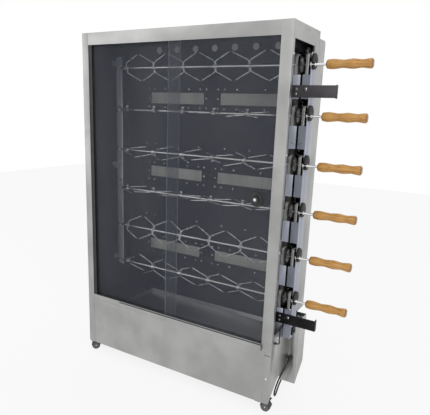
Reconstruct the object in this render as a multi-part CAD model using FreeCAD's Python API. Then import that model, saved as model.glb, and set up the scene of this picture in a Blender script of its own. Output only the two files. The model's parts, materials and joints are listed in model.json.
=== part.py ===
import FreeCAD, Part
import math
import os

# Gas chicken rotisserie with six horizontal spits, sliding glass doors and a side drive column.
# Millimetres. X runs from left to right, Y from the front to the back and Z up from the floor.
# Until the last step X = 0 is the left side of the casing and Y = 0 its front face.

V = FreeCAD.Vector

# Casing
casing_width = 1070.0
casing_height = 1600.0
casing_depth = 308.0
sheet = 2.0
thin_sheet = 1.5
weld_overlap = 1.0
cut_reach = 5.0
left_post_width = 39.0
right_post_width = 48.0
rail_height = 55.0
apron_height = 250.0
apron_strip_start = 30.0
apron_strip_end = 6.0
apron_strip_drop = 18.0
apron_strip_turn = 3.0
post_toe_gap = 3.0
roof_flange = 25.0
sill_height = 32.0
sill_strip = 4.5
side_cut_front = 86.0
side_cut_front_rise = 74.0
side_cut_rear = 225.0
side_cut_rear_rise = 126.0
flange_width = 20.0
rear_cover_depth = 77.0
rear_cover_drop = 29.0
rear_cover_rise = 335.0
rear_cover_round = 12.0
slot_columns = [220.0, 480.0, 740.0]
slot_rows = 8
slot_length = 110.0
slot_height = 7.0
slot_pitch = 22.0
slot_first_drop = 120.0
tube_side = 25.0
tube_wall = 2.0
base_ring_from_right = 60.0

# Side opening for the spits
opening_front = 20.0
opening_back = 250.0
opening_low = 325.0
opening_top_margin = 65.0
opening_lip = 6.0
emboss_height = 4.0
emboss_start = 139.0
emboss_end = 186.0
emboss_drop = 15.0
emboss_lift = 1.2
opening_lip_cut = 25.0

# Casters
foot_height = 50.0
caster_plate_side = 60.0
caster_plate_thick = 3.0
caster_plate_gap = 1.0
wheel_radius = 21.0
wheel_width = 12.0
caster_trail = 14.0
web_thick = 6.0
web_low = 6.0
axle_radius = 3.0
wheel_side_gap = 0.5
wheel_hub_radius = 6.5
dish_radius = 13.0
dish_depth = 2.5
kingpin_radius = 4.0
kingpin_boss_radius = 9.0
kingpin_length = 9.5
hood_wall = 2.0
hood_gap = 1.2
hood_side_gap = 1.3
hood_edge_rise = 2.0
running_gap = 0.06
seat_gap = 0.3

# Doors
glass_thick = 5.0
groove_width = 7.0
track_wall = 2.0
track_lip = 6.5
channel_width = 20.0
track_behind_rail = 20.0
pane_overlap = 56.0
pane_top_gap = 5.0
pane_side_gap = 2.0
door_knob_radius = 33.0
door_knob_reach = 27.0
door_knob_from_right = 110.0
door_knob_rise = 914.0
knob_stem_radius = 5.0
knob_flange_thick = 5.0
knob_edge_round = 2.0
knob_neck_radius = 14.0
knob_neck_end = 14.0
knob_grip_radius = 19.0
knob_grip_end_radius = 17.0
knob_nut_radius = 14.0
knob_nut_thick = 2.6

# Chamber
liner_left = 41.0
liner_right_gap = 50.0
liner_floor_gap = 0.2
liner_window_front = 92.0
liner_window_back = 206.0
back_wall_y = 290.0
window_length = 320.0
window_height = 55.0
window_lefts = [197.0, 610.0]
burner_rises = [532.0, 936.0, 1316.0]
housing_depth = 38.0
housing_margin = 7.0
tile_thick = 13.0
vent_radius = 12.5
vent_count = 7
vent_first_x = 246.0
vent_pitch = 107.5
vent_drop = 51.0

# Spits
spit_count = 6
first_spit_rise = 452.0
spit_pitch = 200.0
spit_y = 146.0
spit_radius = 5.0
spit_start = 68.0
point_length = 14.0
point_radius = 1.0
fork_count = 6
first_fork_x = 153.0
fork_pitch = 168.5
fork_hub_radius = 10.0
fork_hub_length = 16.0
fork_stem = 24.0
fork_tip_radius = 62.0
fork_reach = 79.0
prong_radius = 2.4
fork_bore_gap = 0.1
wing_screw_radius = 2.5
wing_screw_length = 7.0
wing_half = 7.0
wing_depth = 7.0
wing_half_thick = 1.5
fork_turns = [
    [218.0, 195.0, 208.0, 206.0, 210.0, 204.0],
    [340.0, 337.0, 337.0, 348.0, 355.0, 350.0],
    [280.0, 271.0, 268.0, 272.0, 274.0, 270.0],
    [106.0, 118.0, 118.0, 103.0, 116.0, 116.0],
    [268.0, 270.0, 271.0, 268.0, 282.0, 270.0],
    [14.0, 15.0, 15.0, 13.0, 20.0, 4.0],
]
handle_start = 88.0
handle_profile = [(0.0, 11.0), (5.0, 17.0), (26.0, 19.5), (66.0, 15.5), (104.0, 19.0),
                  (138.0, 15.5), (168.0, 19.0), (175.0, 15.0), (178.0, 10.0)]
tang_radius = 4.2
tang_length = 90.0
tang_end_gap = 2.0
collar_radius = 10.0
collar_start = 17.5
collar_end = 30.4
collar_bevel = 3.0
journal_radius = 7.0
journal_end = 43.0

# Rest bar on the left
rest_bar_left = 76.0
rest_bar_width = 37.0
rest_bar_thick = 3.0
rest_bar_y = 156.0
rest_bar_low = 425.0
rest_bar_high = 1508.0
rest_hook_thick = 4.0
rest_hook_wall = 5.0
rest_hook_inset = 6.0
rest_flange = 16.0
rest_bracket_depth = 14.0
rest_bracket_half = 15.0
rest_bracket_inset = 30.0

# Drive column
column_inner = 40.0
column_outer = 33.0
column_front = 128.0
column_slot_inner = 8.5
column_low = 275.0
column_high = 1497.0
outer_wall_depth = 62.0
inner_wall_depth = 96.0
window_below = 40.0
window_above = 67.0
web_y = 186.0
web_height = 40.0
low_web_height = 28.0
web_plate_thick = 3.0
web_clearance = 2.0
spacer_rises = [520.0, 1120.0, 1400.0]
spacer_front = 66.0
spacer_depth = 24.0
spacer_half = 15.0
shoe_radius = 31.0
shoe_offset = 4.0
shoe_rise = 12.0
shoe_thick = 8.0
shoe_gap = 0.35
hook_width = 12.0
hook_thick = 2.0
hook_top = 24.0
hook_foot = 12.0
hook_curl = 15.0
hook_reach = 11.5
hook_inner_offset = -30.0
hook_outer_offset = 15.5
lower_stub_rise = 305.0
lower_stub_y = 158.0
lower_stub_radius = 7.0
lower_stub_length = 12.0
lower_block_half_depth = 20.0
lower_block_half_height = 16.0

# Chain and sprockets
chain_offset = 14.0
chain_radius = 30.0
chain_half_height = 3.5
sprocket_teeth = 12
sprocket_root = 25.5
sprocket_tip = 32.5
sprocket_thick = 5.0
plate_gap = 0.4
chain_plate = 1.6
chain_pin_radius = 2.0
chain_pin_pitch = 47.6
sprocket_hub_radius = 12.0
sprocket_hub_length = 6.0
idler_rise = 1490.0
idler_hub_radius = 13.0
idler_hub_inner = 3.0
idler_hub_outer = 4.0
idler_pin_radius = 6.0
idler_pin_end = 12.0
idler_base_radius = 10.0
idler_base_gap = 3.5
idler_bracket_half = 16.0
guide_radius = 14.0
guide_rise = 372.0
guide_reach = 5.0
motor_sprocket_y = 258.0
motor_sprocket_rise = 285.0
motor_pitch_radius = 24.0
motor_shaft_radius = 6.0
motor_shaft_end = 4.0
motor_shaft_depth = 18.0
motor_hub_radius = 10.0
motor_hub_length = 3.0

# Motor box and motor
motor_box_inner = 39.0
motor_box_outer = 41.0
motor_box_front = 225.0
motor_box_back = 320.0
motor_box_high = 327.0
motor_box_cut_back = 80.0
motor_box_floor_front = 3.0
motor_box_floor_back = 2.0
gearbox_inner = 2.0
gearbox_low = 250.0
gearbox_high = 318.0
gearbox_front = 230.0
gearbox_back = 300.0
motor_radius = 32.0
motor_length = 150.0
motor_x_shift = 2.0
motor_neck_inner = 24.0
motor_neck_half = 28.0
motor_neck_height = 10.0
gearbox_bore_gap = 2.0
motor_y = 263.0
chain_slot_half = 9.0
chain_slot_depth = 48.0

# Arms beside the drive column
arm_height = 48.0
arm_thick = 3.0
arm_inner = 48.0
arm_outer = 142.0
lower_arm_drop = 86.0
upper_arm_share = 0.48
arm_plate_height = 52.0
arm_plate_depth = 20.0

# Grease drawer and sill
drawer_left = 218.0
drawer_lip_low = 251.0
drawer_lip_high = 275.0
drawer_lip_thick = 5.0
drawer_lip_round = 2.0
drawer_lip_over_tray = 2.0
drawer_gap = 0.5
tray_depth = 270.0
tray_wall = 1.2
tray_inset = 4.0

# Gas line
gas_y = 352.0
riser_x = 62.0
riser_radius = 9.0
branch_radius = 6.0
injector_radius = 5.0
injector_reach = 6.0
tap_start = 24.0
tap_bore_depth = 16.0
tap_side = 26.0
spindle_radius = 4.0
tap_knob_radius = 21.0
tap_knob_length = 24.0
tap_knob_gap = 1.0
tap_skirt_thick = 4.0
tap_grip_radius = 16.0
tap_pointer_half = 3.0
inlet_radius = 10.5
inlet_length = 28.0

# Screws
screw_radius = 4.5
screw_head = 2.4
bolt_radius = 6.5
bolt_head = 4.5
arm_bolts = [(-23.0, 9.0), (17.0, 9.0), (-23.0, -10.0)]
side_screws = [(65.0, 297.0), (14.0, 700.0), (14.0, 1100.0), (14.0, 1480.0),
               (279.0, 500.0), (279.0, 900.0), (279.0, 1300.0)]
front_screw_from_right = 16.0
front_screw_rise = 122.0
front_screw_seat = 1.1
cover_screws_x = [60.0, 300.0, 535.0, 770.0, 1010.0]
cover_screw_inset = 20.0

# Mains lead and motor lead
cord_radius = 3.75
cord_hole_gap = 1.0
arc_share = 0.45
lead_radius = 2.6
lead_hole_y = 43.0
lead_hole_rise = 280.0
gland_x = 12.5
gland_rise = 130.0
gland_length = 30.0
gland_base_radius = 11.0
gland_flange = 8.0
gland_neck_radius = 9.0
gland_tip_wall = 1.2
gland_direction = V(-0.19, -0.72, -0.66)
coil_pitch = 9.4
coil_inner_radius = 34.0
coil_turns = 2
coil_x = 963.0
coil_y = 442.0
plug_length = 42.0
plug_width = 34.0
plug_height = 26.0
plug_round = 4.0
plug_lead = 46.0
pin_radius = 2.4
pin_length = 19.0
pin_spread = 19.0

bottom = foot_height
top = foot_height + casing_height
right = casing_width
front_groove = sheet + track_wall
front_pane_y = front_groove + (groove_width - glass_thick) / 2
rear_groove = front_groove + groove_width + track_wall
rear_pane_y = rear_groove + (groove_width - glass_thick) / 2
track_back = rear_groove + groove_width + track_wall
post_x = right - right_post_width
liner_right = right - liner_right_gap
apron_right = right - apron_strip_start
strip_right = right - apron_strip_end
chain_x = right - chain_offset
chain_front = spit_y + chain_radius
idler_y = chain_front + chain_radius
spit_heights = [bottom + first_spit_rise + spit_pitch * number for number in range(spit_count)]
arm_heights = [spit_heights[0] - lower_arm_drop, spit_heights[-2] + upper_arm_share * spit_pitch]

nodes = {}
cord_names = ["mains_cord", "cord_coil", "plug"]


def keep(name, solids):
    nodes[name] = Part.makeCompound(solids) if isinstance(solids, list) else solids


def box(x0, x1, y0, y1, z0, z1):
    return Part.makeBox(x1 - x0, y1 - y0, z1 - z0, V(x0, y0, z0))


def rod(start, end, radius):
    return Part.makeCylinder(radius, (end - start).Length, start, end - start)


def cross_rod(x0, x1, y, z, radius):
    return rod(V(x0, y, z), V(x1, y, z), radius)


def fused(shapes):
    whole = shapes[0].multiFuse(shapes[1:]) if len(shapes) > 1 else shapes[0]
    whole = whole.removeSplitter()
    return whole.Solids[0] if len(whole.Solids) == 1 else whole


def side_prism(outline, x0, x1):
    """A solid from x0 to x1 whose section is a list of (y, z) corners."""
    corners = [V(x0, y, z) for y, z in outline]
    face = Part.Face(Part.makePolygon(corners + corners[:1]))
    return face.extrude(V(x1 - x0, 0, 0))


def turned(profile, x0, y, z):
    """A solid turned about a line along X, from (x, radius) pairs counted from x0."""
    corners = [V(x0 + profile[0][0], y, z)]
    corners += [V(x0 + x, y, z + radius) for x, radius in profile]
    corners.append(V(x0 + profile[-1][0], y, z))
    face = Part.Face(Part.makePolygon(corners + corners[:1]))
    return face.revolve(V(x0, y, z), V(1, 0, 0), 360)


# Casing

def side_outline(rear_edge):
    low = [(0, bottom), (side_cut_front, bottom + side_cut_front_rise),
           (side_cut_rear, bottom + side_cut_rear_rise)]
    return low + rear_edge + [(casing_depth, top), (0, top)]


def make_left_panel():
    wall = side_prism(side_outline([(casing_depth, bottom + side_cut_rear_rise)]), 0, sheet)
    post = box(0, left_post_width, 0, sheet, bottom, top)
    rear = box(0, flange_width, casing_depth - sheet, casing_depth,
               bottom + side_cut_rear_rise, top - sheet)
    keep("left_side_panel", fused([wall, post, rear]))


def make_right_frame():
    step = [(side_cut_rear, bottom + rear_cover_rise), (casing_depth, bottom + rear_cover_rise)]
    wall = side_prism(side_outline(step), right - sheet, right)
    low = bottom + opening_low
    high = top - opening_top_margin
    wall = wall.cut(box(right - sheet, right, opening_front, opening_back, low, high))
    lip = box(right - sheet - opening_lip, right - sheet, opening_front - sheet,
              opening_back + sheet, low - sheet, high + sheet)
    lip = lip.cut(box(right - sheet - opening_lip, right, opening_front, opening_back, low, high))
    lip = lip.cut(box(right - sheet - opening_lip, right, motor_box_front - opening_lip_cut,
                      opening_back + sheet, low - sheet, bottom + motor_box_high + seat_gap))
    lead_hole = cross_rod(right - sheet, right, lead_hole_y, bottom + lead_hole_rise,
                          lead_radius + cord_hole_gap)
    post = box(post_x, right, 0, sheet, bottom + apron_height, top)
    toe_low = bottom + apron_height - apron_strip_drop + post_toe_gap
    toe = box(apron_right + seat_gap, right, 0, sheet, toe_low, bottom + apron_height)
    rear = box(right - flange_width, right, casing_depth - sheet, casing_depth,
               bottom + rear_cover_rise, top - sheet)
    raised = box(right, right + emboss_lift, emboss_start, emboss_end,
                 top - emboss_drop, top - emboss_drop + emboss_height)
    keep("right_side_frame", fused([wall.cut(lead_hole), lip, post, toe, rear, raised]))


def make_top_cover():
    fascia = box(left_post_width, post_x, 0, sheet, top - rail_height, top)
    roof = box(sheet, right - sheet, sheet, casing_depth, top - sheet, top)
    rear = box(flange_width + sheet, right - flange_width - sheet, casing_depth - 2 * sheet,
               casing_depth - sheet, top - sheet - roof_flange, top - sheet)
    keep("top_cover", fused([fascia, roof, rear]))


def make_apron():
    face = box(left_post_width + 1, apron_right, 0, sheet, bottom, bottom + apron_height)
    corners = [V(apron_right, 0, bottom), V(strip_right, apron_strip_turn, bottom),
               V(strip_right, apron_strip_turn + sheet, bottom), V(apron_right, sheet, bottom)]
    strip = Part.Face(Part.makePolygon(corners + corners[:1]))
    strip = strip.extrude(V(0, 0, apron_height - apron_strip_drop))
    keep("apron", fused([face, strip]))


def make_sill():
    low = bottom + apron_height
    high = low + sill_height
    filler = box(left_post_width, drawer_left - sheet, 0, sheet, low, high)
    strip = box(drawer_left - sheet, post_x, 0, sheet, high - sill_strip, high)
    keep("sill_rail", fused([filler, strip]))


def make_base_frame():
    inner = tube_side - tube_wall
    ring_right = right - base_ring_from_right

    def tube(x0, x1, y0, y1):
        outer = box(x0, x1, y0, y1, bottom, bottom + tube_side)
        if x1 - x0 > y1 - y0:
            core = box(x0 + tube_wall, x1 - tube_wall, y0 + tube_wall, y0 + inner,
                       bottom + tube_wall, bottom + inner)
        else:
            core = box(x0 + tube_wall, x0 + inner, y0, y1, bottom + tube_wall, bottom + inner)
        return outer.cut(core)

    front_y = sheet
    rear_y = casing_depth - sheet - tube_side
    tubes = [tube(sheet, apron_right, front_y, front_y + tube_side),
             tube(sheet, ring_right, rear_y, rear_y + tube_side),
             tube(sheet, sheet + tube_side, front_y + tube_side, rear_y),
             tube(ring_right - tube_side, ring_right, front_y + tube_side, rear_y)]
    plates = []
    for x, y, _ in caster_places:
        half = caster_plate_side / 2
        plate_y = min(max(y, sheet + half), rear_y + tube_side - half)
        plate = box(x - half, x + half, plate_y - half, plate_y + half,
                    bottom - caster_plate_thick, bottom)
        pin = rod(V(x, y, bottom - kingpin_length), V(x, y, bottom - weld_overlap), kingpin_radius)
        plates.append(fused([plate, pin]))
    keep("base_frame", tubes + plates)


# Casters: swivel point and the turn of the wheels' axle from the Y axis
caster_places = [(right - 34.0, 32.0, 180.0), (34.0, 32.0, 45.0),
                 (120.0, 272.0, 20.0), (right - 140.0, 272.0, -30.0)]
caster_names = ["front_right", "front_left", "rear_left", "rear_right"]


def caster_hood():
    centre = V(-caster_trail, 0, wheel_radius)
    full = web_thick + 2 * (wheel_side_gap + wheel_width + hood_side_gap)
    outer_radius = wheel_radius + hood_gap + hood_wall
    ceiling = bottom - caster_plate_thick - caster_plate_gap
    low = wheel_radius + hood_edge_rise
    reach = caster_trail + outer_radius

    def axle_rod(width, radius):
        return rod(centre + V(0, -width / 2, 0), centre + V(0, width / 2, 0), radius)

    shell = axle_rod(full, outer_radius).cut(axle_rod(full + 2 * cut_reach, wheel_radius + hood_gap))
    shell = shell.common(box(-reach, reach, -reach, reach, low, ceiling))
    web = axle_rod(web_thick, wheel_radius + hood_gap + hood_wall / 2)
    web = web.common(box(-reach, reach, -reach, reach, web_low, ceiling))
    barrel = rod(V(0, 0, low), V(0, 0, ceiling), kingpin_boss_radius)
    barrel = barrel.cut(axle_rod(full, wheel_radius + hood_gap)).fuse(
        box(-caster_trail, kingpin_boss_radius / 2, -web_thick / 2, web_thick / 2, low, ceiling))
    axle = axle_rod(full - 2 * wheel_side_gap, axle_radius)
    bore = rod(V(0, 0, 0), V(0, 0, bottom), kingpin_radius + running_gap)
    return fused([shell, web, barrel, axle]).cut(bore).Solids[0]


def caster_wheels():
    wheels = []
    for side in (-1, 1):
        near = side * (web_thick / 2 + wheel_side_gap)
        far = near + side * wheel_width
        face = far - side * dish_depth
        middle = V(-caster_trail, 0, wheel_radius)
        tyre = rod(middle + V(0, near, 0), middle + V(0, far, 0), wheel_radius)
        dish = rod(middle + V(0, face, 0), middle + V(0, far, 0), dish_radius)
        hole = rod(middle + V(0, near, 0), middle + V(0, far, 0), axle_radius + running_gap)
        hub = rod(middle + V(0, face, 0), middle + V(0, far, 0), wheel_hub_radius)
        wheels.append(tyre.cut(dish).fuse(hub).cut(hole).removeSplitter().Solids[0])
    return Part.makeCompound(wheels)


def make_casters():
    hood = caster_hood()
    wheels = caster_wheels()
    for name, (x, y, angle) in zip(caster_names, caster_places):
        for part_name, shape in (("hood", hood), ("wheels", wheels)):
            placed = shape.copy()
            placed.rotate(V(0, 0, 0), V(0, 0, 1), angle)
            placed.translate(V(x, y, 0))
            keep(f"caster_{name}_{part_name}", placed)


# Doors

track_low = bottom + apron_height + sill_height - sill_strip
track_high = top - rail_height + track_behind_rail


def make_tracks():
    walls = [sheet, sheet + track_wall + groove_width, track_back - track_wall]
    track_right = post_x + channel_width
    low = [box(left_post_width, track_right, sheet, track_back, track_low, track_low + track_wall)]
    high = [box(left_post_width, track_right, sheet, track_back, track_high - track_wall, track_high)]
    for y in walls:
        low.append(box(left_post_width, track_right, y, y + track_wall,
                       track_low, track_low + track_wall + track_lip))
        high.append(box(left_post_width, track_right, y, y + track_wall,
                        track_high - track_wall - 2 * track_lip, track_high))
    channel_low = track_low + track_wall + track_lip
    channel_high = track_high - track_wall - 2 * track_lip
    channels = []
    for web_x, wall_x in ((left_post_width, left_post_width),
                          (track_right - track_wall, track_right - channel_width)):
        pieces = [box(web_x, web_x + track_wall, sheet, track_back, channel_low, channel_high)]
        for y in walls:
            pieces.append(box(wall_x, wall_x + channel_width, y, y + track_wall,
                              channel_low, channel_high))
        channels.append(fused(pieces))
    keep("door_tracks", [fused(low), fused(high)] + channels)


def make_doors():
    low = track_low + track_wall + seat_gap
    high = track_high - track_wall - pane_top_gap
    pane_left = left_post_width + track_wall + pane_side_gap
    pane_right = post_x + channel_width - track_wall - pane_side_gap
    middle = (left_post_width + post_x) / 2
    left_pane = box(pane_left, middle + pane_overlap / 2, rear_pane_y, rear_pane_y + glass_thick,
                    low, high)
    right_pane = box(middle - pane_overlap / 2, pane_right, front_pane_y,
                     front_pane_y + glass_thick, low, high)
    knob_x = right - door_knob_from_right
    knob_z = bottom + door_knob_rise
    face = front_pane_y
    hole = rod(V(knob_x, 0, knob_z), V(knob_x, track_back, knob_z), knob_stem_radius + seat_gap)
    keep("left_door_glass", left_pane)
    keep("right_door_glass", right_pane.cut(hole))
    flange_face = face - knob_flange_thick
    flange = rod(V(knob_x, face, knob_z), V(knob_x, flange_face, knob_z), door_knob_radius)
    flange = flange.makeFillet(knob_edge_round, [edge for edge in flange.Edges
                                                 if abs(edge.CenterOfMass.y - flange_face) < 0.1
                                                 and abs(edge.Length - 2 * math.pi * door_knob_radius) < 1])
    neck_end = face - knob_neck_end
    neck = rod(V(knob_x, flange_face + weld_overlap, knob_z), V(knob_x, neck_end, knob_z), knob_neck_radius)
    grip_length = door_knob_reach - knob_neck_end + weld_overlap
    grip = Part.makeCone(knob_grip_radius, knob_grip_end_radius, grip_length,
                         V(knob_x, neck_end + weld_overlap, knob_z), V(0, -1, 0))
    glass_back = face + glass_thick
    shank = rod(V(knob_x, face - weld_overlap, knob_z), V(knob_x, glass_back + weld_overlap, knob_z),
                knob_stem_radius)
    nut = rod(V(knob_x, glass_back, knob_z), V(knob_x, glass_back + knob_nut_thick, knob_z), knob_nut_radius)
    keep("door_knob", fused([flange, neck, grip, shank, nut]))


# Chamber

def burner_centres():
    for rise in burner_rises:
        for left in window_lefts:
            yield left + window_length / 2, bottom + rise


def make_chamber():
    floor_low = bottom + apron_height + liner_floor_gap - thin_sheet
    ceiling = track_high - thin_sheet
    outer = box(liner_left, liner_right, track_back, back_wall_y, floor_low, ceiling + thin_sheet)
    inner = box(liner_left + thin_sheet, liner_right - thin_sheet, track_back, back_wall_y,
                floor_low + thin_sheet, ceiling)
    liner = outer.cut(inner)
    for z in spit_heights:
        liner = liner.cut(box(liner_right - cut_reach, liner_right + cut_reach, liner_window_front,
                              liner_window_back, z - window_below, z + window_above))
    keep("chamber_liner", liner.Solids[0])
    back = box(liner_left, liner_right, back_wall_y, back_wall_y + sheet,
               floor_low, ceiling + thin_sheet)
    for x, z in burner_centres():
        back = back.cut(box(x - window_length / 2, x + window_length / 2, back_wall_y - cut_reach,
                            back_wall_y + cut_reach, z - window_height / 2, z + window_height / 2))
    for number in range(vent_count):
        x = vent_first_x + number * vent_pitch
        z = top - vent_drop
        back = back.cut(rod(V(x, back_wall_y - cut_reach, z), V(x, back_wall_y + cut_reach, z), vent_radius))
    keep("chamber_back", back.Solids[0])


def make_burners():
    housings = []
    tiles = []
    front = back_wall_y + sheet
    for x, z in burner_centres():
        half_x = window_length / 2 + housing_margin
        half_z = window_height / 2 + housing_margin
        shell = box(x - half_x, x + half_x, front, front + housing_depth, z - half_z, z + half_z)
        hollow = box(x - half_x + thin_sheet, x + half_x - thin_sheet, front,
                     front + housing_depth - thin_sheet,
                     z - half_z + thin_sheet, z + half_z - thin_sheet)
        inlet = rod(V(x, front, z), V(x, front + housing_depth + cut_reach, z), injector_radius + seat_gap)
        housings.append(shell.cut(hollow).cut(inlet).Solids[0])
        reach = thin_sheet + seat_gap
        tiles.append(box(x - half_x + reach, x + half_x - reach, front + seat_gap,
                         front + seat_gap + tile_thick, z - half_z + reach, z + half_z - reach))
    keep("burner_housings", housings)
    keep("burner_tiles", tiles)


def make_gas_line():
    low = bottom + rear_cover_rise
    riser_low = low - inlet_length
    riser_top = bottom + burner_rises[-1]
    pieces = [rod(V(riser_x, gas_y, low - weld_overlap), V(riser_x, gas_y, riser_top), riser_radius),
              rod(V(riser_x, gas_y, riser_low), V(riser_x, gas_y, low), inlet_radius)]
    centres = list(burner_centres())
    for rise in burner_rises:
        z = bottom + rise
        last_x = max(x for x, height in centres if height == z)
        pieces.append(cross_rod(riser_x, last_x, gas_y, z, branch_radius))
        half = tap_side / 2
        tap = box(tap_start, riser_x, gas_y - half, gas_y + half, z - half, z + half)
        bore = cross_rod(0, tap_start + tap_bore_depth, gas_y, z, spindle_radius + running_gap)
        pieces.append(tap.cut(bore))
    for x, z in centres:
        nozzle_end = back_wall_y + sheet + housing_depth - injector_reach
        pieces.append(rod(V(x, gas_y, z), V(x, nozzle_end, z), injector_radius))
    keep("gas_manifold", fused(pieces))


def make_gas_knobs():
    skirt_end = -tap_knob_gap - tap_skirt_thick
    pointer_end = -tap_knob_length - tap_pointer_half
    pointer_reach = tap_grip_radius + weld_overlap
    spindle_end = tap_start + tap_bore_depth - tap_knob_gap
    for number, rise in enumerate(burner_rises, start=1):
        z = bottom + rise
        spindle = cross_rod(skirt_end - weld_overlap, spindle_end, gas_y, z, spindle_radius)
        skirt = cross_rod(skirt_end, -tap_knob_gap, gas_y, z, tap_knob_radius)
        grip = cross_rod(-tap_knob_length, skirt_end + weld_overlap, gas_y, z, tap_grip_radius)
        pointer = box(pointer_end, skirt_end - weld_overlap, gas_y - tap_pointer_half,
                      gas_y + tap_pointer_half, z - pointer_reach, z + pointer_reach)
        keep(f"gas_knob_{number}", fused([spindle, skirt, grip, pointer]))


def make_rear_cover():
    low = bottom + rear_cover_rise
    high = top - rear_cover_drop
    back = casing_depth + rear_cover_depth
    shell = box(0, right, casing_depth, back, low, high)
    edge = [e for e in shell.Edges
            if abs(e.CenterOfMass.y - back) < 0.1 and abs(e.CenterOfMass.z - high) < 0.1]
    shell = shell.makeFillet(rear_cover_round, edge)
    hollow = box(thin_sheet, right - thin_sheet, casing_depth, back - thin_sheet,
                 low + thin_sheet, high - thin_sheet)
    inner_edge = [e for e in hollow.Edges if abs(e.CenterOfMass.y - back + thin_sheet) < 0.1
                  and abs(e.CenterOfMass.z - high + thin_sheet) < 0.1]
    shell = shell.cut(hollow.makeFillet(rear_cover_round - thin_sheet, inner_edge))
    for rise in burner_rises:
        shell = shell.cut(cross_rod(-cut_reach, cut_reach, gas_y, bottom + rise, spindle_radius + seat_gap))
    shell = shell.cut(rod(V(riser_x, gas_y, low - cut_reach), V(riser_x, gas_y, low + cut_reach),
                          riser_radius + seat_gap))
    for x in slot_columns:
        for number in range(slot_rows):
            z = high - slot_first_drop - number * slot_pitch
            shell = shell.cut(box(x, x + slot_length, back - cut_reach, back + cut_reach, z, z + slot_height))
    lower = box(flange_width + sheet, right - column_inner - sheet, casing_depth - sheet, casing_depth,
                bottom, low)
    keep("rear_cover", [shell.Solids[0], lower])


# Spits

def make_rest_bar():
    low = bottom + rest_bar_low
    high = bottom + rest_bar_high
    bar_right = rest_bar_left + rest_bar_width
    back = rest_bar_y + rest_bar_thick
    pieces = [box(rest_bar_left, bar_right, rest_bar_y, back, low, high),
              box(rest_bar_left, rest_bar_left + rest_bar_thick, rest_bar_y, back + rest_flange, low, high)]
    for z in (low + rest_bracket_inset, (low + high) / 2, high - rest_bracket_inset):
        pieces.append(box(liner_left + thin_sheet, rest_bar_left + weld_overlap, back,
                          back + rest_bracket_depth, z - rest_bracket_half, z + rest_bracket_half))
    hook_x = bar_right - rest_hook_thick - rest_hook_inset
    bore = spit_radius + seat_gap
    wall = bore + rest_hook_wall
    for z in spit_heights:
        block = box(hook_x, hook_x + rest_hook_thick, spit_y - wall, rest_bar_y + weld_overlap,
                    z - wall, z + rest_hook_wall)
        groove = cross_rod(hook_x - cut_reach, hook_x + rest_hook_thick + cut_reach, spit_y, z, bore)
        mouth = box(hook_x - cut_reach, hook_x + rest_hook_thick + cut_reach, spit_y - bore, spit_y + bore,
                    z, z + wall)
        pieces.append(block.cut(groove).cut(mouth))
    keep("spit_rest_bar", fused(pieces))


def toothed_disc(x, y, z, turn):
    """A flat chain wheel centred on (x, y, z), turned by an angle in degrees."""
    corners = []
    step = 2 * math.pi / sprocket_teeth
    for tooth in range(sprocket_teeth):
        for share, radius in ((-0.30, sprocket_root), (-0.11, sprocket_tip),
                              (0.11, sprocket_tip), (0.30, sprocket_root)):
            angle = math.radians(turn) + step * (tooth + share)
            corners.append(V(x - sprocket_thick / 2, y + radius * math.cos(angle),
                             z + radius * math.sin(angle)))
    face = Part.Face(Part.makePolygon(corners + corners[:1]))
    return face.extrude(V(sprocket_thick, 0, 0))


def spit_shaft(z, turn):
    end = right + handle_start
    hub = chain_x - sprocket_thick / 2
    profile = [(0, point_radius), (point_length, spit_radius),
               (hub - spit_start - sprocket_hub_length, spit_radius),
               (hub - spit_start - sprocket_hub_length, sprocket_hub_radius),
               (hub - spit_start + weld_overlap, sprocket_hub_radius),
               (hub - spit_start + weld_overlap, spit_radius),
               (right + collar_start - spit_start, spit_radius),
               (right + collar_start - spit_start, collar_radius - collar_bevel),
               (right + collar_start + collar_bevel - spit_start, collar_radius),
               (right + collar_end - collar_bevel - spit_start, collar_radius),
               (right + collar_end - spit_start, journal_radius),
               (right + journal_end - spit_start, journal_radius),
               (right + journal_end - spit_start, spit_radius),
               (end - spit_start, spit_radius), (end - spit_start, tang_radius),
               (end - spit_start + tang_length, tang_radius)]
    return fused([turned(profile, spit_start, spit_y, z), toothed_disc(chain_x, spit_y, z, turn)])


def spit_fork(x, z, sides, turn):
    """A fork fixed at x whose prongs point to the given sides, -1 to the left and 1 to the right."""
    hub = cross_rod(x - fork_hub_length / 2, x + fork_hub_length / 2, spit_y, z, fork_hub_radius)
    pieces = [hub]
    for way in (-1, 1):
        knee = V(x, spit_y, z + way * fork_stem)
        pieces.append(rod(V(x, spit_y, z + way * (fork_hub_radius - 2 * weld_overlap)), knee, prong_radius))
        pieces.append(Part.makeSphere(prong_radius * 1.02, knee))
        for side in sides:
            tip = V(x + side * fork_reach, spit_y, z + way * fork_tip_radius)
            pieces.append(rod(knee, tip, prong_radius))
    screw_end = spit_y - fork_hub_radius - wing_screw_length
    screw = rod(V(x, spit_y - fork_hub_radius + 2 * weld_overlap, z), V(x, screw_end, z), wing_screw_radius)
    wing = box(x - wing_half, x + wing_half, screw_end + weld_overlap - wing_depth, screw_end + weld_overlap,
               z - wing_half_thick, z + wing_half_thick)
    bore = cross_rod(x - fork_hub_length, x + fork_hub_length, spit_y, z, spit_radius + fork_bore_gap)
    whole = fused(pieces + [screw, wing]).cut(bore)
    whole.rotate(V(x, spit_y, z), V(1, 0, 0), turn)
    return whole.Solids[0]


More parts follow.
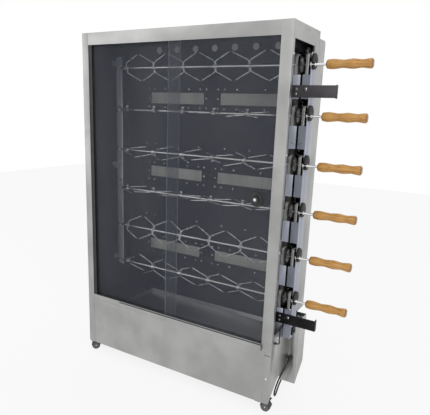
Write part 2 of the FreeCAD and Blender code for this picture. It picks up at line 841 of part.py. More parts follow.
def spit_handle(z):
    points = [V(right + handle_start + x, spit_y, z + radius) for x, radius in handle_profile]
    curve = Part.BSplineCurve()
    curve.interpolate(points[1:-1])
    start = V(points[0].x, spit_y, z)
    end = V(points[-1].x, spit_y, z)
    bore = tang_radius + seat_gap
    bore_end = start.x + tang_length + tang_end_gap
    inner = [V(start.x, spit_y, z + bore), V(bore_end, spit_y, z + bore), V(bore_end, spit_y, z), end]
    edges = [Part.makeLine(points[0], points[1]), curve.toShape(), Part.makeLine(points[-2], points[-1]),
             Part.makeLine(points[-1], end), Part.makeLine(end, inner[2]),
             Part.makeLine(inner[2], inner[1]), Part.makeLine(inner[1], inner[0]),
             Part.makeLine(inner[0], points[0])]
    face = Part.Face(Part.Wire(Part.__sortEdges__(edges)))
    return face.revolve(start, V(1, 0, 0), 360)


def make_spits():
    for number, (z, turns) in enumerate(zip(spit_heights, fork_turns), start=1):
        forks = []
        for place in range(fork_count):
            sides = [-1, 1]
            if place == 0:
                sides = [1]
            if place == fork_count - 1:
                sides = [-1]
            forks.append(spit_fork(first_fork_x + place * fork_pitch, z, sides, turns[place]))
        keep(f"spit_{number}_shaft", spit_shaft(z, 0))
        keep(f"spit_{number}_forks", forks)
        keep(f"spit_{number}_handle", spit_handle(z))


# Drive column

def notch(x0, x1, y, z, radius):
    open_front = column_front - shoe_radius
    return cross_rod(x0, x1, y, z, radius).fuse(box(x0, x1, open_front, y, z - radius, z + radius))


def make_column():
    low = bottom + column_low
    high = bottom + column_high
    inner_x = right - column_inner
    outer_x = right + column_outer
    inner_wall = box(inner_x, inner_x + sheet, column_front, column_front + inner_wall_depth, low, high)
    outer_wall = box(outer_x - sheet, outer_x, column_front, column_front + outer_wall_depth, low, high)
    inner_lip = box(inner_x, right - column_slot_inner, column_front, column_front + sheet, low, high)
    outer_lip = box(right, outer_x, column_front, column_front + sheet, low, high)
    for z in spit_heights:
        gap = box(inner_x + sheet, outer_x - sheet, column_front - cut_reach,
                  column_front + sheet + cut_reach, z - window_below, z + window_above)
        inner_lip = inner_lip.cut(gap)
        outer_lip = outer_lip.cut(gap)
        inner_wall = inner_wall.cut(notch(inner_x - cut_reach, inner_x + cut_reach, spit_y, z,
                                          spit_radius + weld_overlap))
        outer_wall = outer_wall.cut(notch(outer_x - cut_reach, outer_x + cut_reach, spit_y, z,
                                          journal_radius + shoe_gap))
    pieces = [fused([inner_wall, inner_lip]), fused([outer_wall, outer_lip])]
    between = (window_above - window_below + spit_pitch) / 2
    web_places = [(z + between, web_height) for z in spit_heights[:-1]]
    low_web_top = spit_heights[0] - sprocket_tip - web_clearance
    web_places.append((low_web_top - low_web_height / 2, low_web_height))
    for z, height in web_places:
        pieces.append(box(inner_x + sheet, outer_x - sheet, web_y, web_y + web_plate_thick,
                          z - height / 2, z + height / 2))
    guide_shoe = guide_radius - chain_half_height - seat_gap
    pieces.append(cross_rod(inner_x + sheet, chain_x + guide_reach, chain_front + guide_radius,
                            bottom + guide_rise, guide_shoe))
    spacer_y = column_front + spacer_front
    for rise in spacer_rises:
        z = bottom + rise
        pieces.append(box(liner_right, inner_x, spacer_y, spacer_y + spacer_depth,
                          z - spacer_half, z + spacer_half))
    idler_z = bottom + idler_rise
    base_end = chain_x - sprocket_thick / 2 - idler_base_gap
    pin = cross_rod(inner_x + sheet, chain_x + idler_pin_end, idler_y, idler_z, idler_pin_radius)
    base = cross_rod(inner_x + sheet, base_end, idler_y, idler_z, idler_base_radius)
    bracket = box(inner_x, inner_x + sheet, idler_y - idler_bracket_half, idler_y + idler_bracket_half,
                  high - sheet, idler_z + idler_bracket_half)
    pieces.append(fused([pin, base]))
    pieces[0] = fused([pieces[0], bracket])
    stub_z = bottom + lower_stub_rise
    pieces.append(cross_rod(outer_x, outer_x + lower_stub_length, lower_stub_y, stub_z, lower_stub_radius))
    for offset in (hook_inner_offset, hook_outer_offset):
        for z in spit_heights:
            pieces.append(spit_hook(right + offset, z))
    keep("column_plates", pieces)


def spit_hook(x, z):
    """A flat strip behind the lips and in front of a spit, whose top curls back over it."""
    x0 = x - hook_width / 2
    front = column_front + sheet
    back = front + hook_thick
    strip = box(x0, x0 + hook_width, front, back, z - window_below - hook_foot, z + hook_top)
    centre = V(x0, back + hook_curl, z + hook_top)
    size = hook_curl + hook_thick
    ring = Part.makeCylinder(size, hook_width, centre, V(1, 0, 0))
    ring = ring.cut(Part.makeCylinder(hook_curl, hook_width, centre, V(1, 0, 0)))
    ring = ring.common(box(x0, x0 + hook_width, front, centre.y + hook_reach, z + hook_top, z + hook_top + size))
    return fused([strip, ring])


def make_shoes():
    outer_x = right + column_outer
    inner_x = right - column_inner
    shoes = []
    for z in spit_heights:
        middle = z + shoe_rise
        outer = cross_rod(outer_x, outer_x + shoe_thick, spit_y + shoe_offset, middle, shoe_radius)
        slot = notch(outer_x - cut_reach, outer_x + shoe_thick + cut_reach, spit_y, z,
                     journal_radius + shoe_gap)
        shoes.append(outer.cut(slot).Solids[0])
        inner = cross_rod(inner_x - shoe_thick, inner_x, spit_y + shoe_offset, middle, shoe_radius)
        slot = notch(inner_x - shoe_thick - cut_reach, inner_x + cut_reach, spit_y, z, spit_radius + shoe_gap)
        shoes.append(inner.cut(slot).Solids[0])
    stub_z = bottom + lower_stub_rise
    block = box(outer_x, outer_x + shoe_thick,
                lower_stub_y - lower_block_half_depth, lower_stub_y + lower_block_half_depth,
                stub_z - lower_block_half_height, stub_z + lower_block_half_height)
    hole = cross_rod(outer_x - cut_reach, outer_x + shoe_thick + cut_reach, lower_stub_y, stub_z,
                     lower_stub_radius + running_gap)
    shoes.append(block.cut(hole))
    keep("bearing_shoes", shoes)


def chain_outline(offset, x):
    """Face inside the chain's closed path, moved outwards by offset.

    The path goes over the top wheel, down behind every spit, past a guide and round the motor wheel.
    """
    wheels = [(V(0, idler_y, bottom + idler_rise), chain_radius + offset),
              (V(0, chain_front + guide_radius, bottom + guide_rise), guide_radius + offset),
              (V(0, motor_sprocket_y, bottom + motor_sprocket_rise), motor_pitch_radius + offset)]
    count = len(wheels)
    normals = []
    for index in range(count):
        centre, radius = wheels[index]
        next_centre, next_radius = wheels[(index + 1) % count]
        along = next_centre - centre
        lean = (radius - next_radius) / along.Length
        along.normalize()
        outward = V(0, along.z, -along.y)
        normals.append(along * lean + outward * math.sqrt(1 - lean * lean))
    edges = []
    for index in range(count):
        centre, radius = wheels[index]
        arrive, leave = normals[index - 1], normals[index]
        first = math.atan2(arrive.z, arrive.y)
        turn = (math.atan2(leave.z, leave.y) - first) % (2 * math.pi)
        middle = V(0, math.cos(first + turn / 2), math.sin(first + turn / 2))
        edges.append(Part.Arc(centre + arrive * radius, centre + middle * radius,
                              centre + leave * radius).toShape())
        next_centre, next_radius = wheels[(index + 1) % count]
        edges.append(Part.makeLine(centre + leave * radius, next_centre + leave * next_radius))
    face = Part.Face(Part.Wire(edges))
    face.translate(V(x, 0, 0))
    return face


def make_chain():
    inner_side = sprocket_thick / 2 + plate_gap
    strips = []
    for x in (chain_x - inner_side - chain_plate, chain_x + inner_side):
        band = chain_outline(chain_half_height, x).cut(chain_outline(-chain_half_height, x))
        strips.append(band.extrude(V(chain_plate, 0, 0)))
    reach = inner_side + chain_plate / 2
    pins = []
    for z in spit_heights[:-1]:
        for step in range(3):
            pins.append(V(chain_x, chain_front, z + spit_pitch / 2 + (step - 1) * chain_pin_pitch))
    rods = [cross_rod(pin.x - reach, pin.x + reach, pin.y, pin.z, chain_pin_radius) for pin in pins]
    keep("drive_chain", fused(strips + rods))


def make_chain_wheels():
    idler_z = bottom + idler_rise
    half = sprocket_thick / 2
    disc = toothed_disc(chain_x, idler_y, idler_z, 0)
    hub = cross_rod(chain_x - half - idler_hub_inner, chain_x + half + idler_hub_outer,
                    idler_y, idler_z, idler_hub_radius)
    bore = cross_rod(chain_x - chain_radius, chain_x + chain_radius, idler_y, idler_z,
                     idler_pin_radius + running_gap)
    keep("top_idler", fused([disc, hub]).cut(bore).Solids[0])
    motor_z = bottom + motor_sprocket_rise
    shrink = motor_pitch_radius / chain_radius
    small = toothed_disc(0, 0, 0, 0)
    matrix = FreeCAD.Matrix()
    matrix.scale(1, shrink, shrink)
    small = small.transformGeometry(matrix)
    small.translate(V(chain_x, motor_sprocket_y, motor_z))
    hub = cross_rod(chain_x - half, chain_x + half + motor_hub_length, motor_sprocket_y, motor_z,
                    motor_hub_radius)
    shaft = cross_rod(chain_x - half - motor_shaft_end, right + gearbox_inner + motor_shaft_depth,
                      motor_sprocket_y, motor_z, motor_shaft_radius)
    keep("motor_sprocket", fused([small, hub, shaft]))


def make_motor_box():
    low = bottom
    high = bottom + motor_box_high
    outline = [(motor_box_front, low), (motor_box_back, low + motor_box_cut_back),
               (motor_box_back, high), (motor_box_front, high)]
    shell = side_prism(outline, right - motor_box_inner, right + motor_box_outer)
    inset = thin_sheet
    front = motor_box_front + inset
    back = motor_box_back - inset
    hollow_outline = [(front, low + motor_box_floor_front),
                      (back, low + motor_box_cut_back + motor_box_floor_back),
                      (back, high + cut_reach), (front, high + cut_reach)]
    hollow = side_prism(hollow_outline, right - motor_box_inner + inset, right + motor_box_outer - inset)
    slot = box(chain_x - chain_slot_half, chain_x + chain_slot_half, motor_box_front - cut_reach,
               motor_box_front + cut_reach, high - chain_slot_depth, high + cut_reach)
    hole = rod(V(right + gland_x, motor_box_front - cut_reach, bottom + gland_rise),
               V(right + gland_x, motor_box_front + cut_reach, bottom + gland_rise),
               cord_radius + cord_hole_gap)
    keep("motor_box", shell.cut(hollow).cut(slot).cut(hole).Solids[0])


def make_motor():
    outer = right + motor_box_outer - thin_sheet
    low = bottom + gearbox_low
    gearbox = box(right + gearbox_inner, outer, gearbox_front, gearbox_back, low, bottom + gearbox_high)
    bore = cross_rod(right, right + gearbox_inner + motor_shaft_depth + gearbox_bore_gap, motor_sprocket_y,
                     bottom + motor_sprocket_rise, motor_shaft_radius + running_gap)
    motor_x = right + motor_x_shift
    body = rod(V(motor_x, motor_y, low - motor_length), V(motor_x, motor_y, low), motor_radius)
    neck = box(right - motor_neck_inner, outer, motor_y - motor_neck_half, motor_y + motor_neck_half,
               low - motor_neck_height, low)
    keep("gear_motor", [fused([gearbox, body, neck]).cut(bore).Solids[0], side_lead()])


def side_lead():
    """Short lead from the hole in the side up behind the lower arm."""
    hole = V(right - 6, lead_hole_y, bottom + lead_hole_rise)
    slot_x = right - column_slot_inner / 2
    points = [hole, hole + V(18, 0, 1), hole + V(20, 7, 26), V(right + 8, 68, bottom + 327),
              V(slot_x, 96, bottom + 334), V(slot_x, 134, bottom + 336)]
    return tube_along(points, lead_radius)[0]


# Arms and fasteners

def make_arms():
    arms = []
    back = column_front
    front = column_front - arm_thick
    for height in arm_heights:
        low = height - arm_height / 2
        bar = box(right - arm_inner, right + arm_outer, front, back, low, low + arm_height)
        margin = (arm_plate_height - arm_height) / 2
        plate = box(right + arm_outer - arm_thick, right + arm_outer, front, front + arm_plate_depth,
                    low - margin, low + arm_height + margin)
        arms.append(fused([bar, plate]))
    keep("guard_arms", arms)


def make_screws():
    front = column_front - arm_thick
    bolts = []
    for height in arm_heights:
        for x, z in arm_bolts:
            head = V(right + x, front, height + z)
            bolts.append(rod(head, head - V(0, bolt_head, 0), bolt_radius))
    heads = []
    for y, z in side_screws:
        heads.append(cross_rod(right, right + screw_head, y, bottom + z, screw_radius))
        heads.append(cross_rod(-screw_head, 0, y, bottom + z, screw_radius))
    seat = V(right - front_screw_from_right, front_screw_seat, bottom + front_screw_rise)
    heads.append(rod(seat, seat - V(0, screw_head, 0), screw_radius))
    cover_back = casing_depth + rear_cover_depth
    cover_rows = [top - rear_cover_drop - cover_screw_inset, bottom + rear_cover_rise + cover_screw_inset]
    for x in cover_screws_x:
        for z in cover_rows:
            heads.append(rod(V(x, cover_back, z), V(x, cover_back + screw_head, z), screw_radius))
    keep("body_screws", bolts + heads)


# Grease drawer

def make_drawer():
    low = bottom + apron_height + drawer_gap
    high = bottom + drawer_lip_high
    tray_left = drawer_left + tray_inset
    tray_right = liner_right - thin_sheet - tray_inset
    tray = box(tray_left, tray_right, 0, tray_depth, low, high - drawer_lip_over_tray)
    hollow = box(tray_left + tray_wall, tray_right - tray_wall, tray_wall + sheet, tray_depth - tray_wall,
                 low + tray_wall, high)
    lip = box(drawer_left, post_x - drawer_gap, -drawer_lip_thick, thin_sheet, bottom + drawer_lip_low, high)
    edges = [edge for edge in lip.Edges if abs(edge.CenterOfMass.y + drawer_lip_thick) < 0.1
             and edge.Length > 100]
    lip = lip.makeFillet(drawer_lip_round, edges)
    keep("grease_drawer", fused([tray.cut(hollow), lip]))


# Mains lead

def tube_along(points, radius):
    """A round tube along straight runs joined by tangent arcs, and the radii of its arcs."""
    runs = [points[index + 1] - points[index] for index in range(len(points) - 1)]
    edges = []
    radii = []
    start = points[0]
    for index in range(1, len(points) - 1):
        before = V(runs[index - 1])
        after = V(runs[index])
        shorter = min(before.Length, after.Length)
        before.normalize()
        after.normalize()
        turn = before.getAngle(after)
        cut = arc_share * shorter
        bend = cut / math.tan(turn / 2)
        radii.append(bend)
        arc_start = points[index] - before * cut
        arc_end = points[index] + after * cut
        toward = after - before
        toward.normalize()
        middle = points[index] + toward * (bend / math.cos(turn / 2) - bend)
        edges.append(Part.LineSegment(start, arc_start).toShape())
        edges.append(Part.Arc(arc_start, middle, arc_end).toShape())
        start = arc_end
    edges.append(Part.LineSegment(start, points[-1]).toShape())
    path = Part.Wire(edges)
    first = V(runs[0])
    section = Part.Wire(Part.makeCircle(radius, points[0], first))
    return path.makePipeShell([section], True, False), radii, path.Length


def gland_line():
    way = V(gland_direction)
    way.normalize()
    return V(right + gland_x, motor_box_front - gland_flange + weld_overlap, bottom + gland_rise), way


def make_gland():
    base, way = gland_line()
    flange = rod(V(base.x, motor_box_front, base.z), V(base.x, motor_box_front - gland_flange, base.z),
                 gland_base_radius)
    relief = Part.makeCone(gland_neck_radius, cord_radius + gland_tip_wall, gland_length, base, way)
    keep("cord_gland", fused([flange, relief]))


def coil_path():
    """Two flat layers: the first winds inwards, the second outwards, joined by a climbing half turn."""
    outer = coil_inner_radius + coil_pitch * coil_turns
    height = cord_radius + 0.3
    position = V(coil_x + outer, coil_y, height)
    edges = []
    side = 1

    def half_turn(start, radius, rise):
        centre = start - V(side * radius, 0, 0)
        lean = math.atan2(rise, 2 * radius)
        far = radius / math.cos(lean)
        middle = centre + V(0, side * far, rise / 2)
        end = start + V(-2 * side * radius, 0, rise)
        if rise == 0:
            edges.append(Part.Arc(start, middle, end).toShape())
            return end
        for first, last, way in ((start, middle, V(0, side, 0)), (middle, end, None)):
            chord = last - first
            if way is None:
                tangent = V(-side * math.cos(lean), 0, math.sin(lean))
            else:
                tangent = way
            edges.append(arc_from_tangent(first, tangent, chord))
        return end

    radius = outer
    for half in range(2 * coil_turns):
        radius = outer - coil_pitch * (half + 0.5) / 2
        position = half_turn(position, radius, 0)
        side = -side
    position = half_turn(position, coil_inner_radius, coil_pitch)
    side = -side
    for half in range(2 * coil_turns):
        radius = coil_inner_radius + coil_pitch * (half + 0.5) / 2
        position = half_turn(position, radius, 0)
        side = -side
    return edges, position, side


def arc_from_tangent(start, tangent, chord):
    """A circular arc that leaves start along tangent and ends at start + chord."""
    half_angle = tangent.getAngle(chord)
    along = V(chord)
    length = along.Length
    along.normalize()
    aside = tangent - along * tangent.dot(along)
    aside.normalize()
    sagitta = length / 2 * math.tan(half_angle / 2)
    middle = start + chord * 0.5 + aside * sagitta
    return Part.Arc(start, middle, start + chord).toShape()


def make_cord():
    base, way = gland_line()
    tip = base + way * gland_length
    outer = coil_inner_radius + coil_pitch * coil_turns
    start = V(coil_x + outer, coil_y, cord_radius + 0.3)
    floor = start.z
    points = [tip,
              tip + way * 56,
              V(right - 12, 119, bottom + 24),
              V(right - 18, 117, bottom - 18),
              V(right - 23, 145, floor),
              V(right - 31, 188, floor),
              V(right - 42, 236, floor),
              V(right - 50, 284, floor),
              V(start.x - 1, 330, floor),
              V(start.x, start.y - 34, floor),
              start]
    tube, radii, length = tube_along(points, cord_radius)
    keep("mains_cord", tube)
    section = math.pi * cord_radius ** 2
    print("cord radii", [round(radius, 1) for radius in radii])
    print("cord volume share", round(tube.Volume / (section * length), 4), "length", round(length, 1))
    edges, end, side = coil_path()
    lead_out = end + V(0, side * plug_lead, 0)
    edges.append(Part.LineSegment(end, lead_out).toShape())
    path = Part.Wire(edges)
    ring = Part.Wire(Part.makeCircle(cord_radius, start, V(0, 1, 0)))
    coil = path.makePipeShell([ring], True, False)
    keep("cord_coil", coil)
    print("coil volume share", round(coil.Volume / (section * path.Length), 4),
          "length", round(path.Length, 1), "least gap", round(least_self_gap(path), 2))
    make_plug(lead_out, side)


def least_self_gap(path):
    """Least distance between stretches of the coil's path that lie half a turn or more apart."""
    spots = path.discretize(Number=600)
    step = path.Length / (len(spots) - 1)
    apart = int(math.pi * coil_inner_radius / step)
    nearest = min(spots[first].distanceToPoint(spots[second])
                  for first in range(len(spots))
                  for second in range(first + apart, len(spots)))
    return nearest - 2 * cord_radius


def make_plug(entry, side):
    half = plug_width / 2
    y0, y1 = sorted((entry.y, entry.y + side * plug_length))
    body = box(entry.x - half, entry.x + half, y0, y1, entry.z - plug_height / 2, entry.z + plug_height / 2)
    body = body.makeFillet(plug_round, [edge for edge in body.Edges if edge.Length > plug_length - 1
                                 and abs(edge.CenterOfMass.y - (y0 + y1) / 2) < 0.1])
    pins = []
    face_y = entry.y + side * plug_length
    for x in (entry.x - pin_spread / 2, entry.x + pin_spread / 2):
        foot = V(x, face_y - side * weld_overlap, entry.z)
        pins.append(rod(foot, V(x, face_y + side * pin_length, entry.z), pin_radius))
    keep("plug", fused([body] + pins))


def export_all():
    whole = Part.makeCompound([shape for name, shape in nodes.items() if name not in cord_names])
    bounds = whole.optimalBoundingBox(False, False)
    shift = V(-(bounds.XMin + bounds.XMax) / 2, -(bounds.YMin + bounds.YMax) / 2, 0)
    print("shift", round(shift.x, 3), round(shift.y, 3), "low", round(bounds.ZMin, 4))
    print("size", round(bounds.XLength, 2), round(bounds.YLength, 2), round(bounds.ZLength, 2))
    os.makedirs("parts", exist_ok=True)
    for name, shape in nodes.items():
        placed = shape.copy()
        placed.translate(shift)
        placed.exportStep(f"parts/{name}.step")
    print(len(nodes), "nodes")


make_left_panel()
make_right_frame()
make_top_cover()
make_apron()
make_sill()
make_base_frame()
make_casters()
make_tracks()
make_doors()
make_chamber()
make_burners()
make_gas_line()
make_gas_knobs()
make_rear_cover()
make_rest_bar()
make_spits()
make_column()
make_shoes()
make_chain()
make_chain_wheels()
make_motor_box()
make_motor()
make_arms()
make_screws()
make_drawer()
make_gland()
make_cord()
export_all()
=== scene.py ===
import json
import math

import bmesh
import bpy
from mathutils import Matrix, Vector, noise

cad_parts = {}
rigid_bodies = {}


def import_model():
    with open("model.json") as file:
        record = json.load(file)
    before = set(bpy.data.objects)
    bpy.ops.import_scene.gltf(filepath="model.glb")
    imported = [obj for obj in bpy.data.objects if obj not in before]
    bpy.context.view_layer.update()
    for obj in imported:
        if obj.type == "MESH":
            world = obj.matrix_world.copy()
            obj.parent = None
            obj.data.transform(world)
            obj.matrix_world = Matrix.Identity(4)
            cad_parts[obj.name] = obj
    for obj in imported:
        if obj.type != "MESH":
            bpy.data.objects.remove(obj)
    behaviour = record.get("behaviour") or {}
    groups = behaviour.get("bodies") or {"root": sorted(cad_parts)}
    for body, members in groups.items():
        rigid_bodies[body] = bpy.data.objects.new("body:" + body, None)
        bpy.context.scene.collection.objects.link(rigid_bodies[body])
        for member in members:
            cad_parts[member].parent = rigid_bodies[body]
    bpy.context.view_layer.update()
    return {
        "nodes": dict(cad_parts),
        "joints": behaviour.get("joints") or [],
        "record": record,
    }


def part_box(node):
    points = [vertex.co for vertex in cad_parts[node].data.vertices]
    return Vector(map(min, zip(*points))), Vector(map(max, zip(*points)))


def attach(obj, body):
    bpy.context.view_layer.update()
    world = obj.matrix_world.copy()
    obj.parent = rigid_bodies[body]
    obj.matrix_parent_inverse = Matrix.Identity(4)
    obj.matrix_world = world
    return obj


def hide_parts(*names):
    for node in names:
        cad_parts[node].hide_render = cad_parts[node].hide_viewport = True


# Six-spit gas rotisserie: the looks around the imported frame. Metres, Z up, glass front towards -Y.

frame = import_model()
nodes = frame["nodes"]
bodies = frame["record"]["behaviour"]["bodies"]
bodyOf = {node: body for body, members in bodies.items() for node in members}
mm = 0.001

linerToSide = 50 * mm

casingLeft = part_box("left_side_panel")[0].x
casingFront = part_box("top_cover")[0].y
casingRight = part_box("chamber_liner")[1].x + linerToSide
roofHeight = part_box("top_cover")[1].z

alongX = Vector((1, 0, 0))
toFront = Vector((0, -1, 0))
toTop = Vector((0, 0, 1))


def spot(x, y, z):  # millimetres from the casing's left front edge, with z from the floor
    return Vector((casingLeft + x * mm, casingFront + y * mm, z * mm))


def sideSpot(x, y, z):  # the same, with x counted from the casing's right side
    return Vector((casingRight + x * mm, casingFront + y * mm, z * mm))


# Camera

cameraView = {
    "place": (1.0863, -1.9091, 1.3129),
    "yaw": 0.5301,
    "pitch": 0.2314,
    "roll": 0.0337,
    "lens": 39.09,
    "shiftX": 0.0179,
    "shiftY": 0.0295,
    "filmWidth": 36,
    "clip": (0.05, 60),
}


def makeCamera(view):
    data = bpy.data.cameras.new("camera")
    data.lens = view["lens"]
    data.sensor_width = view["filmWidth"]
    data.shift_x, data.shift_y = view["shiftX"], view["shiftY"]
    data.clip_start, data.clip_end = view["clip"]
    yaw, pitch, roll = view["yaw"], view["pitch"], view["roll"]
    ahead = Vector((-math.sin(yaw) * math.cos(pitch), math.cos(yaw) * math.cos(pitch), -math.sin(pitch)))
    level = Vector((math.cos(yaw), math.sin(yaw), 0))
    above = level.cross(ahead)
    side = level * math.cos(roll) + above * math.sin(roll)
    upward = side.cross(ahead)
    turn = Matrix((side, upward, -ahead)).transposed().to_4x4()
    camera = bpy.data.objects.new("camera", data)
    camera.matrix_world = Matrix.Translation(view["place"]) @ turn
    bpy.context.scene.collection.objects.link(camera)
    bpy.context.scene.camera = camera


makeCamera(cameraView)
print("camera ready")


# Node trees, and shader maths written as sums and products

def addNode(tree, kind, settings=None, inputs=None):  # a node with its settings, values and links
    made = tree.nodes.new(kind)
    for key, value in (settings or {}).items():
        setattr(made, key, value)
    for key, value in (inputs or {}).items():
        if isinstance(value, bpy.types.NodeSocket):
            tree.links.new(value, made.inputs[key])
        else:
            made.inputs[key].default_value = value
    return made


class Value:
    def __init__(self, recipe, socket):
        self.recipe, self.socket = recipe, socket

    def maths(self, operation, first, second):
        return self.recipe.node("ShaderNodeMath", {"operation": operation}, {0: first, 1: second})

    def __add__(self, other):
        return self.maths("ADD", self, other)

    def __sub__(self, other):
        return self.maths("SUBTRACT", self, other)

    def __rsub__(self, other):
        return self.maths("SUBTRACT", other, self)

    def __mul__(self, other):
        return self.maths("MULTIPLY", self, other)

    def above(self, other):
        return self.maths("GREATER_THAN", self, other)

    def most(self, other):
        return self.maths("MAXIMUM", self, other)

    def sine(self):
        return self.maths("SINE", self, 0.0)

    def ramp(self, start, end, first=0.0, last=1.0):
        return self.recipe.node("ShaderNodeMapRange", {"interpolation_type": "SMOOTHSTEP"},
                                {"Value": self, "From Min": start, "From Max": end,
                                 "To Min": first, "To Max": last})


class Recipe:
    def __init__(self, name):
        self.material = bpy.data.materials.new(name)
        self.material.use_nodes = True
        self.tree = self.material.node_tree
        self.tree.nodes.clear()

    def node(self, kind, settings=None, inputs=None, output=0):
        given = {key: value.socket if isinstance(value, Value) else value
                 for key, value in (inputs or {}).items()}
        made = addNode(self.tree, kind, settings, given)
        return Value(self, made.outputs[output]) if made.outputs else None

    def colours(self, share, stops):  # a colour ramp
        made = addNode(self.tree, "ShaderNodeValToRGB", None, {"Fac": share.socket})
        elements = made.color_ramp.elements
        for index, (place, colour) in enumerate(stops):
            stop = elements[index] if index < 2 else elements.new(place)
            stop.position, stop.color = place, (*colour, 1)
        return Value(self, made.outputs[0])

    def here(self, stretch=(1, 1, 1)):
        place = self.node("ShaderNodeTexCoord", output="Object")
        return self.node("ShaderNodeMapping", {}, {"Vector": place, "Scale": stretch})

    def along(self, axis):
        return self.node("ShaderNodeSeparateXYZ", {}, {0: self.here()}, output="XYZ".index(axis))

    def clouds(self, scale, detail=2.0, stretch=(1, 1, 1), rough=0.5):
        return self.node("ShaderNodeTexNoise", {},
                         {"Vector": self.here(stretch), "Scale": scale, "Detail": detail, "Roughness": rough})

    def blend(self, share, first, second):
        colours = [(*colour, 1) if isinstance(colour, tuple) else colour for colour in (first, second)]
        return self.node("ShaderNodeMix", {"data_type": "RGBA"}, {0: share, 6: colours[0], 7: colours[1]},
                         output=2)

    def bump(self, height, strength, distance, under=None):
        inputs = {"Height": height, "Strength": strength, "Distance": distance}
        if under:
            inputs["Normal"] = under
        return self.node("ShaderNodeBump", {}, inputs)

    def finish(self, **inputs):
        named = {key.replace("_", " "): value for key, value in inputs.items()}
        if isinstance(named.get("Base Color"), tuple):
            named["Base Color"] = (*named["Base Color"], 1)
        surface = self.node("ShaderNodeBsdfPrincipled", {}, named)
        self.node("ShaderNodeOutputMaterial", {}, {"Surface": surface})
        return self.material


# Materials

steelLook = {
    "bright": (0.43, 0.43, 0.425),
    "dull": (0.34, 0.34, 0.335),
    "stain": (0.23, 0.23, 0.225),
    "roughness": (0.30, 0.44),
    "grainBump": 0.05,
    "waveBump": 0.35,
}


def steelSheet(name, grain, look=steelLook, metal=1.0):  # grain is the axis of the brush lines
    recipe = Recipe(name)
    stretch = {"X": (2, 260, 260), "Y": (260, 2, 260), "Z": (260, 260, 2)}[grain]
    lines = recipe.clouds(3.0, 3.0, stretch, 0.7)
    patches = recipe.clouds(5.0, 3.0, rough=0.55)
    wipes = recipe.clouds(2.2, 4.0, (1, 1, 2.4), 0.6)
    specks = recipe.clouds(140.0, 1.0).ramp(0.70, 0.78)
    tone = recipe.blend(patches.ramp(0.3, 0.7), look["bright"], look["dull"])
    tone = recipe.blend(wipes.ramp(0.62, 0.82) * 0.45, tone, look["stain"])
    tone = recipe.blend(specks * 0.25, tone, look["stain"])
    smooth, rough = look["roughness"]
    gloss = wipes.ramp(0.3, 0.75, smooth, rough) + (lines - 0.5) * 0.10
    waves = recipe.clouds(3.4, 1.0, (1, 1, 0.6))
    wavy = recipe.bump(waves, look["waveBump"], 4 * mm)
    brushed = recipe.bump(lines, look["grainBump"], 0.2 * mm, wavy)
    return recipe.finish(Base_Color=tone, Roughness=gloss, Metallic=metal, Normal=brushed)


def darkEnamel(name, clean, dusty, shine=(0.6, 0.8)):
    recipe = Recipe(name)
    patches = recipe.clouds(6.0, 4.0, rough=0.6)
    drips = recipe.clouds(9.0, 2.0, (3, 3, 0.35))
    waves = recipe.clouds(3.0, 1.0)
    tone = recipe.blend(patches.ramp(0.35, 0.7) * 0.8, clean, dusty)
    tone = recipe.blend(drips.ramp(0.55, 0.75) * 0.35, tone, dusty)
    gloss = patches.ramp(0.3, 0.7, *shine)
    return recipe.finish(Base_Color=tone, Roughness=gloss, Normal=recipe.bump(waves, 0.3, 3 * mm))


glassLook = {
    "deep": (0.105, 0.113, 0.140),
    "hazy": (0.145, 0.154, 0.178),
    "cover": (0.21, 0.26),
    "gloss": (0.04, 0.10),
    "bending": 1.5,
    "sheen": 0.06,
}


def smokedGlass(look):
    recipe = Recipe("smokedGlass")
    haze = recipe.clouds(2.6, 3.0, (1, 1, 0.5))
    wiped = recipe.clouds(11.0, 3.0, (1, 1, 0.3))
    tone = recipe.blend(haze.ramp(0.3, 0.72), look["deep"], look["hazy"])
    cover = haze.ramp(0.25, 0.75, *look["cover"]) + (wiped - 0.5) * 0.02
    gloss = wiped.ramp(0.35, 0.7, *look["gloss"])
    return recipe.finish(Base_Color=tone, Roughness=gloss, Alpha=cover, IOR=look["bending"],
                         Specular_IOR_Level=look["sheen"])


def blackPlastic(name, tone=(0.016, 0.016, 0.017), shine=(0.3, 0.5), scratch=0.3):
    recipe = Recipe(name)
    patches = recipe.clouds(30.0, 3.0)
    grain = recipe.clouds(900.0, 1.0)
    dust = recipe.clouds(55.0, 4.0, (1, 1, 0.5)).ramp(0.55, 0.8)
    worn = recipe.blend(dust * scratch, tone, (0.09, 0.09, 0.088))
    return recipe.finish(Base_Color=worn, Roughness=patches.ramp(0.3, 0.7, *shine),
                         Normal=recipe.bump(grain, 0.08, 0.2 * mm))


def chrome(name, tone=(0.80, 0.80, 0.80), shine=(0.10, 0.26), soot=(0.30, 0.27, 0.23)):
    recipe = Recipe(name)
    patches = recipe.clouds(14.0, 4.0)
    rings = recipe.clouds(3.0, 2.0, (420, 3, 3))
    burnt = recipe.blend(patches.ramp(0.56, 0.8) * 0.5, tone, soot)
    gloss = patches.ramp(0.3, 0.7, *shine) + (rings - 0.5) * 0.06
    return recipe.finish(Base_Color=burnt, Roughness=gloss, Metallic=1.0,
                         Normal=recipe.bump(rings, 0.04, 0.2 * mm))


woodLook = {
    "pale": (0.66, 0.35, 0.085),
    "mid": (0.50, 0.225, 0.042),
    "dark": (0.22, 0.085, 0.018),
    "fibreScale": 26.0,
    "ringScale": 55.0,
}


